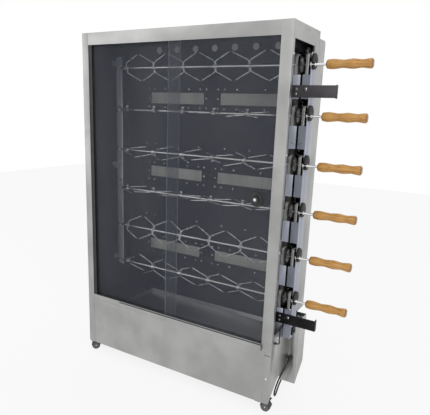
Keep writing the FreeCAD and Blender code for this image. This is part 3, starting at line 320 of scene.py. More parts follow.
def turnedWood(name, start, end, look=woodLook):  # start and end are the handle's own ends along X
    recipe = Recipe(name)
    fibres = recipe.clouds(look["fibreScale"], 5.0, (0.7, 9, 9), 0.65)
    drift = recipe.clouds(9.0, 2.0, (1, 3, 3))
    rings = (recipe.along("Z") * look["ringScale"] * 10 + drift * 14).sine() * 0.5 + 0.5
    tone = recipe.colours(fibres.ramp(0.30, 0.72) * 0.62 + rings * 0.20,
                          [(0.2, look["pale"]), (0.62, look["mid"]), (0.95, look["dark"])])
    x = recipe.along("X")
    ends = x.ramp(start + 1 * mm, start + 9 * mm, 1.0, 0.0).most(x.ramp(end - 9 * mm, end - 1 * mm))
    tone = recipe.blend(ends * 0.75, tone, look["dark"])
    pores = recipe.clouds(95.0, 2.0, (0.5, 14, 14)).ramp(0.60, 0.75)
    tone = recipe.blend(pores * 0.45, tone, look["dark"])
    return recipe.finish(Base_Color=tone, Roughness=fibres.ramp(0.3, 0.7, 0.32, 0.5), Coat_Weight=0.35,
                         Coat_Roughness=0.18, Normal=recipe.bump(fibres - pores, 0.18, 0.4 * mm))


def castIron(name, tone=(0.014, 0.014, 0.015), worn=(0.045, 0.043, 0.040)):
    recipe = Recipe(name)
    lumps = recipe.clouds(210.0, 3.0)
    oil = recipe.clouds(24.0, 3.0)
    colour = recipe.blend(oil.ramp(0.45, 0.75) * 0.6, tone, worn)
    return recipe.finish(Base_Color=colour, Roughness=oil.ramp(0.3, 0.7, 0.40, 0.62), Specular_IOR_Level=0.2,
                         Normal=recipe.bump(lumps, 0.25, 0.4 * mm))


def paintedSteel(name, tone, worn, shine=(0.35, 0.55), sheen=0.5):
    recipe = Recipe(name)
    peel = recipe.clouds(260.0, 1.0)
    patches = recipe.clouds(12.0, 4.0)
    chips = recipe.clouds(75.0, 3.0).ramp(0.70, 0.74)
    colour = recipe.blend(patches.ramp(0.4, 0.75) * 0.6, tone, worn)
    colour = recipe.blend(chips * 0.5, colour, (0.32, 0.31, 0.30))
    return recipe.finish(Base_Color=colour, Roughness=patches.ramp(0.3, 0.7, *shine),
                         Specular_IOR_Level=sheen, Normal=recipe.bump(peel, 0.10, 0.3 * mm))


tileLook = {
    "ceramic": (0.66, 0.66, 0.60),
    "soot": (0.42, 0.42, 0.38),
    "holePitch": 2.6 * mm,
}


def ceramicTile():
    recipe = Recipe("ceramicTile")
    turns = 2 * math.pi / tileLook["holePitch"]
    row = (recipe.along("X") * turns).sine()
    column = (recipe.along("Z") * turns).sine()
    holes = (row * column).ramp(0.45, 0.8)
    smoke = recipe.clouds(13.0, 4.0, (1, 1, 0.35))
    tone = recipe.blend(smoke.ramp(0.35, 0.72) * 0.6, tileLook["ceramic"], tileLook["soot"])
    # the holes are painted dark: painted shade inside the holes
    tone = recipe.blend(holes * 0.55, tone, (0.16, 0.155, 0.14))
    return recipe.finish(Base_Color=tone, Roughness=0.9, Normal=recipe.bump(1.0 - holes, 0.4, 0.8 * mm))


def brass():
    recipe = Recipe("gasBrass")
    patches = recipe.clouds(22.0, 4.0)
    pipe = recipe.along("X").above(casingLeft + 66 * mm)
    tone = recipe.blend(patches.ramp(0.35, 0.75), (0.62, 0.44, 0.17), (0.38, 0.25, 0.11))
    steel = recipe.blend(patches.ramp(0.35, 0.75), (0.50, 0.49, 0.47), (0.30, 0.28, 0.26))
    return recipe.finish(Base_Color=recipe.blend(pipe, tone, steel), Metallic=1.0,
                         Roughness=patches.ramp(0.3, 0.7, 0.28, 0.5))


def oiledSteel(name, tone=(0.085, 0.082, 0.078), grease=(0.018, 0.016, 0.014)):
    recipe = Recipe(name)
    film = recipe.clouds(60.0, 4.0)
    colour = recipe.blend(film.ramp(0.35, 0.7), tone, grease)
    return recipe.finish(Base_Color=colour, Metallic=1.0, Roughness=film.ramp(0.3, 0.7, 0.30, 0.55),
                         Normal=recipe.bump(film, 0.15, 0.3 * mm))


def rubber(name, tone=(0.018, 0.018, 0.018), dust=(0.11, 0.108, 0.10), share=0.25):
    recipe = Recipe(name)
    grain = recipe.clouds(700.0, 2.0)
    patches = recipe.clouds(26.0, 4.0)
    colour = recipe.blend(patches.ramp(0.45, 0.8) * share, tone, dust)
    return recipe.finish(Base_Color=colour, Roughness=patches.ramp(0.3, 0.7, 0.5, 0.75),
                         Normal=recipe.bump(grain, 0.12, 0.2 * mm))


def pressedPaint(name, tone, dust):
    recipe = Recipe(name)
    patches = recipe.clouds(40.0, 3.0)
    return recipe.finish(Base_Color=recipe.blend(patches.ramp(0.3, 0.7), tone, dust),
                         Roughness=patches.ramp(0.3, 0.7, 0.35, 0.55),
                         Normal=recipe.bump(patches, 0.05, 0.3 * mm))


innerSteelLook = steelLook | {
    "bright": (0.58, 0.58, 0.58),
    "dull": (0.47, 0.475, 0.49),
    "stain": (0.27, 0.25, 0.22),
    "roughness": (0.22, 0.38),
    "waveBump": 0.25,
}

columnSteelLook = steelLook | {
    "bright": (0.43, 0.455, 0.535),
    "dull": (0.36, 0.385, 0.455),
    "stain": (0.23, 0.235, 0.27),
    "roughness": (0.30, 0.45),
    "waveBump": 0.2,
}

# a brighter, less metallic copy of the column steel for the lip's front: painted light for the shaded recess
# behind the post
lipPaintedLightLook = columnSteelLook | {
    "bright": (0.60, 0.63, 0.73),
    "dull": (0.52, 0.55, 0.64),
    "stain": (0.33, 0.34, 0.39),
}

zincLook = {
    "bright": (0.50, 0.50, 0.49),
    "dull": (0.40, 0.40, 0.39),
    "stain": (0.24, 0.235, 0.22),
    "roughness": (0.38, 0.5),
    "grainBump": 0.04,
    "waveBump": 0.1,
}

finishes = {
    "steelUpright": steelSheet("steelUpright", "Z"),
    "steelLevel": steelSheet("steelLevel", "X"),
    "steelInner": steelSheet("steelInner", "Z", innerSteelLook, 0.5),
    "enamel": darkEnamel("darkEnamel", (0.024, 0.026, 0.033), (0.046, 0.048, 0.054)),
    "glass": smokedGlass(glassLook),
    "glassEdge": pressedPaint("glassEdge", (0.34, 0.37, 0.38), (0.26, 0.285, 0.30)),
    "track": blackPlastic("blackTrack", shine=(0.42, 0.6)),
    "knob": blackPlastic("blackKnob", shine=(0.12, 0.25), scratch=0.1),
    "chrome": chrome("chromeRod"),
    "forks": chrome("forkSteel", (0.78, 0.78, 0.77), (0.2, 0.34)),
    "iron": castIron("blackIron"),
    "columnLipPaintedLight": steelSheet("columnLipPaintedLight", "Z", lipPaintedLightLook, 0.1),
    "steelColumn": steelSheet("steelColumn", "Z", columnSteelLook, 0.25),
    # near-black for the column's inside faces: painted shade, with a film of chain grease
    "greaseAndPaintedShade": oiledSteel("greaseAndPaintedShadePlate", (0.035, 0.034, 0.033), (0.014, 0.013, 0.012)),
    "zinc": steelSheet("zincStrip", "Z", zincLook, 0.5),
    # a lighter grey copy of the black arm paint for the upper arm: painted light
    "armUpperPaintedLight": paintedSteel("greyArmPaintedLight", (0.085, 0.080, 0.086), (0.13, 0.12, 0.125), (0.3, 0.5)),
    "arm": paintedSteel("blackArm", (0.011, 0.011, 0.012), (0.022, 0.022, 0.024), sheen=0.2),
    "frame": paintedSteel("framePaint", (0.022, 0.022, 0.022), (0.05, 0.05, 0.048)),
    "tile": ceramicTile(),
    "brass": brass(),
    "motor": paintedSteel("motorPaint", (0.085, 0.095, 0.115), (0.14, 0.15, 0.165)),
    "chain": oiledSteel("chainSteel"),
    "sprocket": oiledSteel("sprocketSteel", (0.075, 0.073, 0.070), (0.020, 0.018, 0.016)),
    "screw": chrome("screwSteel", (0.74, 0.74, 0.73), (0.2, 0.3)),
    "cord": rubber("cordRubber"),
    "tyre": rubber("casterTyre", (0.055, 0.055, 0.056), (0.17, 0.165, 0.155), 0.5),
    "hood": blackPlastic("casterHood", (0.02, 0.02, 0.021), (0.22, 0.4)),
    "disc": pressedPaint("wheelDisc", (0.15, 0.15, 0.155), (0.10, 0.10, 0.10)),
    # near-white: painted light for the brightness that shows through the heat ports
    "ventPaintedLight": pressedPaint("ventCap", (0.90, 0.91, 0.92), (0.78, 0.79, 0.80)),
    "mark": pressedPaint("knobMark", (0.75, 0.75, 0.73), (0.6, 0.6, 0.58)),
    "slit": blackPlastic("darkSlit", (0.03, 0.03, 0.032)),
}
print("materials ready")


# Tools for meshes

def newObject(name, mesh, finish, smooth=38):
    piece = bpy.data.objects.new(name, mesh)
    bpy.context.scene.collection.objects.link(piece)
    if finish:
        mesh.materials.clear()
        mesh.materials.append(finishes[finish])
    if smooth and mesh.polygons:
        mesh.shade_smooth()
        mesh.set_sharp_from_angle(angle=math.radians(smooth))
    return piece


def filled(name, fill, finish, smooth=38):  # a mesh drawn by fill on an empty bmesh
    shape = bmesh.new()
    fill(shape)
    bmesh.ops.remove_doubles(shape, verts=shape.verts, dist=0.005 * mm)
    bmesh.ops.recalc_face_normals(shape, faces=shape.faces)
    mesh = bpy.data.meshes.new(name)
    shape.to_mesh(mesh)
    shape.free()
    return newObject(name, mesh, finish, smooth)


def settled(piece, smooth=38):  # modifiers made part of the mesh
    graph = bpy.context.evaluated_depsgraph_get()
    mesh = bpy.data.meshes.new_from_object(piece.evaluated_get(graph))
    piece.modifiers.clear()
    piece.data = mesh
    mesh.shade_smooth()
    mesh.set_sharp_from_angle(angle=math.radians(smooth))
    return piece


def edged(piece, width, segments, **limits):  # a bevel with even shading, made part of the mesh
    edge = piece.modifiers.new("edge", "BEVEL")
    edge.width, edge.segments, edge.use_clamp_overlap = width, segments, True
    for key, value in limits.items():
        setattr(edge, key, value)
    piece.modifiers.new("flat", "WEIGHTED_NORMAL").keep_sharp = True
    return settled(piece, 50)


def rounded(piece, width, segments=2, angle=30):
    return edged(piece, width, segments, limit_method="ANGLE", angle_limit=math.radians(angle))


def placed(piece, body, replaced=()):
    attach(piece, body)
    if replaced:
        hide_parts(*replaced)
    return piece


def joined(name, pieces):  # several meshes made one, with their materials kept
    bpy.ops.object.select_all(action="DESELECT")
    for piece in pieces:
        piece.select_set(True)
    bpy.context.view_layer.objects.active = pieces[0]
    bpy.ops.object.join()
    pieces[0].name = name
    pieces[0].data.name = name
    return pieces[0]


def assembled(name, pieces, node):  # several meshes as one piece in place of a node
    return placed(joined(name, pieces), bodyOf[node], [node])


def mergedCopy(node):  # the frame's loose triangles as one closed shape with whole flat faces
    shape = bmesh.new()
    shape.from_mesh(nodes[node].data)
    bmesh.ops.remove_doubles(shape, verts=shape.verts, dist=0.01 * mm)
    bmesh.ops.dissolve_limit(shape, angle_limit=math.radians(1.0), verts=shape.verts, edges=shape.edges)
    return shape


def separate(shape):  # the unconnected parts of a bmesh, each as a list of its vertices
    left = set(shape.verts)
    found = []
    while left:
        queue, group = [left.pop()], []
        while queue:
            vert = queue.pop()
            group.append(vert)
            for edge in vert.link_edges:
                other = edge.other_vert(vert)
                if other in left:
                    left.remove(other)
                    queue.append(other)
        found.append(group)
    return found


def islands(node):  # the separate solids of a node, each as a list of its points, low ones first
    shape = mergedCopy(node)
    found = [[vert.co.copy() for vert in group] for group in separate(shape)]
    shape.free()
    found.sort(key=lambda group: tuple(round(sum(point[axis] for point in group) / len(group), 4)
                                       for axis in (2, 0, 1)))
    return found


def span(points):
    return (Vector([min(point[axis] for point in points) for axis in range(3)]),
            Vector([max(point[axis] for point in points) for axis in range(3)]))


def bevelled(node, name, finish, width=0.6 * mm, fold=None, foldWidth=2.5 * mm, segments=2, wanted=None):
    shape = mergedCopy(node)
    if wanted:
        drop = [vert for group in separate(shape) if not wanted(*span([vert.co for vert in group]))
                for vert in group]
        bmesh.ops.delete(shape, geom=drop, context="VERTS")
    layer = shape.edges.layers.float.new("bevel_weight_edge")
    for edge in shape.edges:
        if len(edge.link_faces) == 2 and edge.calc_face_angle(0) > math.radians(25):
            edge[layer] = 1.0 if fold and fold(edge.verts[0].co, edge.verts[1].co) else width / foldWidth
    mesh = bpy.data.meshes.new(name)
    shape.to_mesh(mesh)
    shape.free()
    return edged(newObject(name, mesh, finish), foldWidth, segments, limit_method="WEIGHT")


def softened(node, *settings, **more):  # a frame piece with its edges rounded
    return placed(bevelled(node, *settings, **more), bodyOf[node], [node])


def ring(shape, centre, first, second, radius, sides):
    points = []
    for index in range(sides):
        angle = 2 * math.pi * index / sides
        offset = first * math.cos(angle) * radius + second * math.sin(angle) * radius
        points.append(shape.verts.new(centre + offset))
    return points


def skinned(shape, rings, closed=False):
    pairs = list(zip(rings, rings[1:])) + ([(rings[-1], rings[0])] if closed else [])
    for near, far in pairs:
        count = len(near)
        for index in range(count):
            after = (index + 1) % count
            shape.faces.new((near[index], near[after], far[after], far[index]))
    if not closed:
        shape.faces.new(list(reversed(rings[0])))
        shape.faces.new(rings[-1])


def crossAxes(axis):
    first = axis.orthogonal().normalized()
    return first, axis.cross(first).normalized()


def turned(shape, start, axis, profile, sides=48, closed=False):  # closed: a ring from its section
    first, second = crossAxes(axis)
    skinned(shape, [ring(shape, start + axis * along * mm, first, second, radius * mm, sides)
                    for along, radius in profile], closed)


def lathed(name, finish, start, axis, profile, sides=48, closed=False, smooth=38):
    return filled(name, lambda shape: turned(shape, start, axis, profile, sides, closed), finish, smooth)


def roundedCorners(points, bend, steps=6):  # a path whose corners are arcs
    path = [points[0]]
    for before, corner, after in zip(points, points[1:], points[2:]):
        arrive, leave = (corner - before), (after - corner)
        reach = min(bend, arrive.length * 0.48, leave.length * 0.48)
        start, end = corner - arrive.normalized() * reach, corner + leave.normalized() * reach
        for step in range(steps + 1):
            share = step / steps
            path.append(start.lerp(corner, share).lerp(corner.lerp(end, share), share))
    path.append(points[-1])
    return path


def swept(shape, path, radius, sides=12, taper=None):  # a round wire along a path
    tangents = [(after - before).normalized()
                for before, after in zip(path[:1] + path[:-1], path[1:] + path[-1:])]
    first, second = crossAxes(tangents[0])
    rings = []
    for index, point in enumerate(path):
        if index:
            turn = tangents[index - 1].rotation_difference(tangents[index])
            first, second = turn @ first, turn @ second
        size = radius * (taper[index] if taper else 1)
        rings.append(ring(shape, point, first, second, size, sides))
    skinned(shape, rings)


def slab(shape, corners, thickness):  # a flat plate from its outline, thickened along a vector
    near = [shape.verts.new(corner) for corner in corners]
    far = [shape.verts.new(corner + thickness) for corner in corners]
    shape.faces.new(near)
    shape.faces.new(list(reversed(far)))
    for index in range(len(near)):
        after = (index + 1) % len(near)
        shape.faces.new((near[index], far[index], far[after], near[after]))


def brick(shape, lowest, highest):
    corners = [Vector((lowest.x, lowest.y, lowest.z)), Vector((highest.x, lowest.y, lowest.z)),
               Vector((highest.x, highest.y, lowest.z)), Vector((lowest.x, highest.y, lowest.z))]
    slab(shape, corners, Vector((0, 0, highest.z - lowest.z)))


def copyTree(name, master, finish):  # copies of master on every point, turned by its own attribute
    tree = bpy.data.node_groups.new(name, "GeometryNodeTree")
    for socket, way, kind in (("Spots", "INPUT", "Geometry"), ("Unevenness", "INPUT", "Float"),
                              ("Copies", "OUTPUT", "Geometry")):
        tree.interface.new_socket(socket, in_out=way, socket_type="NodeSocket" + kind)
    given = addNode(tree, "NodeGroupInput")
    source = addNode(tree, "GeometryNodeObjectInfo", None, {"Object": master})
    turn = addNode(tree, "GeometryNodeInputNamedAttribute", {"data_type": "FLOAT_VECTOR"},
                   {"Name": "turn"})
    random = addNode(tree, "FunctionNodeRandomValue", {"data_type": "FLOAT"},
                     {2: -1.0, 3: 1.0, "Seed": 7})
    size = addNode(tree, "ShaderNodeMath", {"operation": "MULTIPLY_ADD"},
                   {0: random.outputs[1], 1: given.outputs["Unevenness"], 2: 1.0})
    copies = addNode(tree, "GeometryNodeInstanceOnPoints", None,
                     {"Points": given.outputs["Spots"], "Instance": source.outputs["Geometry"],
                      "Rotation": turn.outputs["Attribute"], "Scale": size.outputs[0]})
    real = addNode(tree, "GeometryNodeRealizeInstances", None,
                   {"Geometry": copies.outputs["Instances"]})
    paint = addNode(tree, "GeometryNodeSetMaterial", None,
                    {"Geometry": real.outputs["Geometry"], "Material": finishes[finish]})
    addNode(tree, "NodeGroupOutput", None, {"Copies": paint.outputs["Geometry"]})
    return tree


def repeated(name, master, places, finish, unevenness=0.0):
    mesh = bpy.data.meshes.new(name)
    mesh.from_pydata([tuple(place) for place, turn in places], [], [])
    turns = mesh.attributes.new("turn", "FLOAT_VECTOR", "POINT")
    for entry, (place, turn) in zip(turns.data, places):
        entry.vector = tuple(turn)
    piece = newObject(name, mesh, None, 0)
    tree = copyTree(name, master, finish)
    copies = piece.modifiers.new("copies", "NODES")
    copies.node_group = tree
    uneven = next(item for item in tree.interface.items_tree if item.name == "Unevenness")
    copies[uneven.identifier] = unevenness
    settled(piece)
    mesh = piece.data
    if "turn" in mesh.attributes:
        mesh.attributes.remove(mesh.attributes["turn"])
    bpy.data.objects.remove(master)
    return piece


facing = {  # turns that take a master's +Z to each way
    "+Z": (0, 0, 0), "+X": (0, math.pi / 2, 0), "-X": (0, -math.pi / 2, 0),
    "-Y": (math.pi / 2, 0, 0), "+Y": (-math.pi / 2, 0, 0),
}


# Mains lead: one line from the gland along the floor into the put-away coil, then to the plug

leadLook = {
    "radius": 3.75,
    "coilInner": 34.0,
    "coilPitch": 9.4,
    "coilTurns": 2,
    "coilX": 963.0,
    "coilY": 442.0,
    "plugLead": 46.0,
    "pointsPerTurn": 16,
    "length": 1.74,
    "glandPlace": (12.5, 218, 180),
    "glandWay": (-0.19, -0.72, -0.66),
    "glandLength": 30,
    "glandLead": 56,
    "floorGap": 0.3,
    "drop": ((-12, 119, 74), (-18, 117, 32)),
    "floorPath": ((-23, 145), (-31, 188), (-42, 236), (-50, 284)),
    "turnIn": 330,
}


def leadPoints(look):
    floorHeight = look["radius"] + look["floorGap"]
    glandWay = Vector(look["glandWay"]).normalized() * mm
    glandTip = sideSpot(*look["glandPlace"]) + glandWay * look["glandLength"]
    inner = look["coilInner"]
    outer = inner + look["coilPitch"] * look["coilTurns"]
    points = [glandTip, glandTip + glandWay * look["glandLead"]]
    points += [sideSpot(*place) for place in look["drop"]]
    points += [sideSpot(x, y, floorHeight) for x, y in look["floorPath"]]
    points += [spot(look["coilX"] + outer - 1, look["turnIn"], floorHeight),
               spot(look["coilX"] + outer, look["coilY"] - 34, floorHeight)]
    count = look["pointsPerTurn"]
    steps = count * look["coilTurns"]
    spread = 2 / (1 + math.cos(math.pi / count))  # the line runs a little inside its points

    def onCoil(angle, radius, height):
        return spot(look["coilX"] + radius * math.cos(angle), look["coilY"] + radius * math.sin(angle),
                    height)

    for layer, (start, end, phase) in enumerate(((outer, inner, 0.0), (inner, outer, math.pi))):
        for step in range(steps + 1):
            points.append(onCoil(phase + 2 * math.pi * step / count,
                                 (start + (end - start) * step / steps) * spread,
                                 floorHeight + layer * look["coilPitch"]))
        if layer == 0:  # half a turn that climbs to the upper layer
            for step in range(1, count // 2):
                share = step / (count // 2)
                points.append(onCoil(math.pi * share, inner * spread,
                                     floorHeight + share * look["coilPitch"]))
    coilEnd = points[-1]
    return points + [coilEnd + Vector((0, -share * look["plugLead"] * mm, 0)) for share in (0.5, 1.0)]


def makeLead(look):
    points = leadPoints(look)
    curve = bpy.data.curves.new("mainsLead", "CURVE")
    curve.dimensions = "3D"
    curve.bevel_depth = look["radius"] * mm
    curve.bevel_resolution = 5
    curve.use_fill_caps = True
    line = curve.splines.new("NURBS")
    line.points.add(len(points) - 1)
    for point, place in zip(line.points, points):
        point.co = (*place, 1)
    line.use_endpoint_u = True
    line.order_u = 3
    line.resolution_u = 6
    lead = bpy.data.objects.new("mainsLead", curve)
    bpy.context.scene.collection.objects.link(lead)
    curve.materials.append(finishes["cord"])
    placed(lead, "casing", ["mains_cord", "cord_coil"])
    return lead, points[0], points[-1]


lead, leadExit, leadEnd = makeLead(leadLook)


plugLook = {
    "length": 42.0,
    "sleeveEnd": 8,
    "squareness": 0.62,
    "sides": 32,
    "pinRadius": 2.4,
    "pinLength": 19.0,
    "pinSpread": 19.0,
    "sections": ((-3, 5.4, 5.4), (0, 6.0, 6.0), (7, 7.2, 6.8), (12, 11.0, 9.0), (19, 14.6, 11.0),
                 (26, 15.4, 11.6), (31, 15.0, 11.4), (34, 16.6, 12.2), (40, 17.0, 12.5), (42, 15.6, 11.4)),
    "grips": 4,
    "gripPitch": 2.6,
}


def makePlug(look, entry):
    def body(shape):  # oval sections from the lead's sleeve to the flat front
        rings = []
        for along, wide, tall in look["sections"]:
            power = look["squareness"] if along > look["sleeveEnd"] else 1.0
            points = []
            for index in range(look["sides"]):
                angle = 2 * math.pi * index / look["sides"]
                side, rise = math.cos(angle), math.sin(angle)
                x = math.copysign(abs(side) ** power, side) * wide
                z = math.copysign(abs(rise) ** power, rise) * tall
                points.append(shape.verts.new(entry + Vector((x * mm, -along * mm, z * mm))))
            rings.append(points)
        skinned(shape, rings)

    def grooves(shape):  # grip ribs across the sleeve
        for index in range(look["grips"]):
            along = 1.5 + index * look["gripPitch"]
            turned(shape, entry + Vector((0, -along * mm, 0)), toFront,
                   [(0, 6.2), (0.3, 7.0), (1.1, 7.0), (1.4, 6.2)], 28)

    def pins(shape):
        radius, length = look["pinRadius"], look["pinLength"]
        for side in (-1, 1):
            start = entry + Vector((side * look["pinSpread"] / 2 * mm, -(look["length"] - 3) * mm, 0))
            turned(shape, start, toFront, [(0, radius), (length + 1.5, radius), (length + 2.6, radius * 0.8),
                                           (length + 3.0, radius * 0.4)], 20)

    shell = rounded(filled("plugShell", body, "knob"), 0.8 * mm, 2, 40)
    pieces = [shell, filled("plugRibs", grooves, "knob"), filled("plugPins", pins, "screw")]
    return assembled("plugBody", pieces, "plug")


plugBody = makePlug(plugLook, leadEnd)


def makeGland(look):
    base = sideSpot(*look["glandPlace"])
    way = Vector(look["glandWay"]).normalized()
    sleeve = [(-4, 8.6)]  # tapered, with rings, thinning towards the lead
    for index in range(6):
        start = 1.5 + index * 4.4
        radius = 8.4 - index * 0.62
        sleeve += [(start, radius), (start + 2.6, radius - 0.3), (start + 2.9, radius - 1.3),
                   (start + 4.1, radius - 1.4)]
    sleeve += [(29.2, 4.7), (30.0, 4.2)]
    flange = lathed("glandFlange", "track", base + Vector((0, 7 * mm, 0)), toFront,
                    [(0, 11.0), (3.2, 11.0), (4.4, 10.2), (4.5, 9.0), (8.5, 8.6), (9.0, 7.5)], 36)
    return assembled("cordGland", [flange, lathed("glandRelief", "cord", base, way, sleeve, 28)],
                     "cord_gland")


makeGland(leadLook)
tuple(leadExit)
print("mains lead ready")


# Casing sheets

foldLook = {
    "edge": 0.45 * mm,
    "fold": 2.6 * mm,
    "motorFold": 1.8 * mm,
}


def near(value, target, reach=0.4 * mm):
    return abs(value - target) < reach


def onLine(first, last, **lines):  # an edge that lies on the given x, y or z
    return all(near(getattr(point, axis), value)
               for point in (first, last) for axis, value in lines.items())


def foldsAt(*corners):  # picks the edges that lie on one of the given lines
    return lambda first, last: any(onLine(first, last, **corner) for corner in corners)


def makeCasing(look):
    edge, fold = look["edge"], look["fold"]
    sideBack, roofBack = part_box("left_side_panel")[1].y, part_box("top_cover")[1].y
    leftFolds = foldsAt({"x": casingLeft, "y": casingFront}, {"x": casingLeft, "y": sideBack})
    rightFolds = foldsAt({"x": casingRight, "y": casingFront}, {"x": casingRight, "y": roofBack})
    roofFolds = foldsAt({"y": casingFront, "z": roofHeight}, {"y": roofBack, "z": roofHeight})
    softened("left_side_panel", "leftSidePanel", "steelUpright", edge, leftFolds, fold, 3)
    softened("right_side_frame", "rightSideFrame", "steelUpright", edge, rightFolds, fold, 3)
    softened("top_cover", "topCover", "steelLevel", edge, roofFolds, fold, 3)
    softened("sill_rail", "sillRail", "steelLevel", edge)
    softened("rear_cover", "rearCover", "steelUpright", edge)
    softened("motor_box", "motorBox", "steelUpright", edge,
             lambda first, last: near(first.x, last.x) and not near(first.z, last.z, 5 * mm),
             look["motorFold"], 3)
    softened("grease_drawer", "greaseDrawer", "steelLevel", edge)


apronLook = {
    "columns": 88,
    "rows": 22,
    "dent": 0.9 * mm,
    "sag": 0.5 * mm,
    "rim": 14 * mm,
    "thick": 2 * mm,
    "endWidth": 30 * mm,
    "endDrop": 18 * mm,
    "endSections": ((0.0, 0.0), (3.0, 0.05), (12.0, 0.6), (24.0, 1.2), (29.0, 1.5)),
}


def makeApron(look):  # a thin sheet that has been knocked about a little
    lowest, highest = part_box("apron")
    faceRight = casingRight - look["endWidth"]

    def dent(x, z):
        edge = min(x - lowest.x, faceRight - x, z - lowest.z, highest.z - z) / look["rim"]
        share = max(0.0, min(1.0, edge))
        share = share * share * (3 - 2 * share)
        wide = noise.noise(Vector((x * 2.7, 0.4, z * 5.2))) * look["dent"]
        ripple = noise.noise(Vector((x * 7.5, 3.1, z * 9.0))) * look["sag"]
        return share * (wide + ripple)

    def bridged(shape, below, above):
        for index in range(len(below) - 1):
            shape.faces.new((below[index], below[index + 1], above[index + 1], above[index]))

    def sheet(shape):
        layers = []
        for depth in (0.0, look["thick"]):
            grid = []
            for row in range(look["rows"] + 1):
                z = lowest.z + (highest.z - lowest.z) * row / look["rows"]
                line = []
                for column in range(look["columns"] + 1):
                    x = lowest.x + (faceRight - lowest.x) * column / look["columns"]
                    line.append(shape.verts.new((x, casingFront + depth + dent(x, z), z)))
                grid.append(line)
            layers.append(grid)
        for grid in layers:
            for below, above in zip(grid, grid[1:]):
                bridged(shape, below, above)
        front, back = layers
        for place in (0, -1):
            bridged(shape, front[place], back[place])
        for place in (0, -1):
            bridged(shape, [line[place] for line in front], [line[place] for line in back])

    def strip(shape):  # the folded end, shorter than the face and turned back a little
        top = highest.z - look["endDrop"]
        sections = look["endSections"]
        outline = [Vector((faceRight + x * mm, casingFront + y * mm, lowest.z)) for x, y in sections]
        outline += [Vector((faceRight + x * mm, casingFront + (y + 2) * mm, lowest.z))
                    for x, y in reversed(sections[:-1])]
        slab(shape, outline, Vector((0, 0, top - lowest.z)))

    face = rounded(filled("apronFace", sheet, "steelLevel"), 0.5 * mm, 2, 50)
    end = rounded(filled("apronEnd", strip, "steelLevel"), 0.4 * mm, 2, 40)
    return assembled("apronSheet", [face, end], "apron")


makeCasing(foldLook)
makeApron(apronLook)
print("casing ready")


# Base frame and casters

casterLook = {
    "radius": 21.0,
    "width": 12.0,
    "web": 6.0,
    "hoodGap": 1.2,
    "hoodWall": 2.0,
    "hoodSide": 0.6,
    "wheelGap": 0.5,
    "hoodAngles": (8, 172),
}


def casterPlaces():
    for joint in frame["joints"]:
        if joint["name"].endswith("_swivel"):
            name = joint["child"]
            roll = next(other for other in frame["joints"] if other["parent"] == name)
            yield name, Vector(joint["pos_m"]), Vector(roll["pos_m"]), Vector(roll["axis"])


def makeCaster(name, pivot, centre, axle, look):
    back = (centre - pivot)
    back.z = 0
    back.normalize()
    radius, width, web = look["radius"], look["width"], look["web"]
    outer = (radius + look["hoodGap"] + look["hoodWall"]) * mm
    inner = (radius + look["hoodGap"]) * mm
    half = (web / 2 + width + look["hoodGap"] + look["hoodSide"]) * mm
    ceiling = pivot.z + 1 * mm

    def arc(size, side, first, last, steps=20):
        for step in range(steps + 1):
            angle = math.radians(first + (last - first) * step / steps)
            point = centre + back * math.cos(angle) * size + toTop * math.sin(angle) * size
            point.z = min(point.z, ceiling)
            yield point + axle * side

    def cover(shape):  # the round hood over both wheels, with a bead along its rim
        crown = [(-half, outer - 2.2 * mm), (-half + 0.8 * mm, outer - 0.5 * mm),
                 (-half + 2.4 * mm, outer), (half - 2.4 * mm, outer),
                 (half - 0.8 * mm, outer - 0.5 * mm), (half, outer - 2.2 * mm)]
        sections = [[shape.verts.new(point) for point in arc(size, side, *look["hoodAngles"])]
                    for side, size in crown + [(half, inner), (-half, inner)]]
        for first, second in zip(sections, sections[1:] + sections[:1]):
            for index in range(len(first) - 1):
                shape.faces.new((first[index], first[index + 1], second[index + 1], second[index]))
        for place in (0, -1):
            shape.faces.new([section[place] for section in sections])

    def wall(shape):  # between the wheels, up to the block that holds the pin
        reach = inner + 0.4 * mm
        lowAngle = math.degrees(math.asin((centre.z - 7 * mm) / outer))
        outline = list(arc(reach, -web / 2 * mm, -lowAngle * 0.9, 180 + lowAngle * 0.9, 30))
        slab(shape, outline, axle * web * mm)

    def cap(shape):  # axle ends in the middle of each wheel's dish
        for side in (-1, 1):
            start = centre + axle * side * (web / 2 + width - 2.2) * mm
            turned(shape, start, axle * side, [(0, 3.0), (2.6, 3.0), (3.3, 2.4), (3.5, 1.2)], 20)

    rise = (ceiling - centre.z) / mm
    pieces = [rounded(filled(name + "Cover", cover, "hood"), 0.35 * mm, 2, 35),
              rounded(filled(name + "Web", wall, "hood"), 0.5 * mm, 2, 35),
              lathed(name + "Barrel", "hood", Vector((pivot.x, pivot.y, centre.z + 3 * mm)), toTop,
                     [(0, 7.5), (2, 9.0), (rise - 4, 9.0), (rise - 3, 8.4)], 28),
              filled(name + "Cap", cap, "screw")]
    assembled(name + "Hood", pieces, name + "_hood")

    tyre = [(0, 3.2), (0, 8.0), (1.0, 9.0), (1.0, 15.5), (0, 17.0), (0, radius - 1.6),
            (0.4, radius - 0.5), (1.6, radius), (width - 1.6, radius), (width - 0.4, radius - 0.5),
            (width, radius - 1.6), (width, radius - 3.4), (width - 1.0, radius - 3.8), (width - 1.0, 3.2)]
    disc = [(width - 1.2, 3.2), (width - 0.2, 3.2), (width + 0.1, 4.6), (width + 0.1, 6.2),
            (width - 0.7, 7.2), (width - 1.0, 10.0), (width - 0.6, 13.0), (width + 0.1, 14.6),
            (width + 0.1, 16.6), (width - 0.4, 17.3), (width - 1.2, 17.3)]
    rolling = []
    for side in (-1, 1):
        start = centre + axle * side * (web / 2 + look["wheelGap"]) * mm
        rolling.append(lathed(name + "Tyre", "tyre", start, axle * side, tyre, 56, True))
        rolling.append(lathed(name + "Disc", "disc", start, axle * side, disc, 56, True))
    assembled(name + "WheelPair", rolling, name + "_wheels")


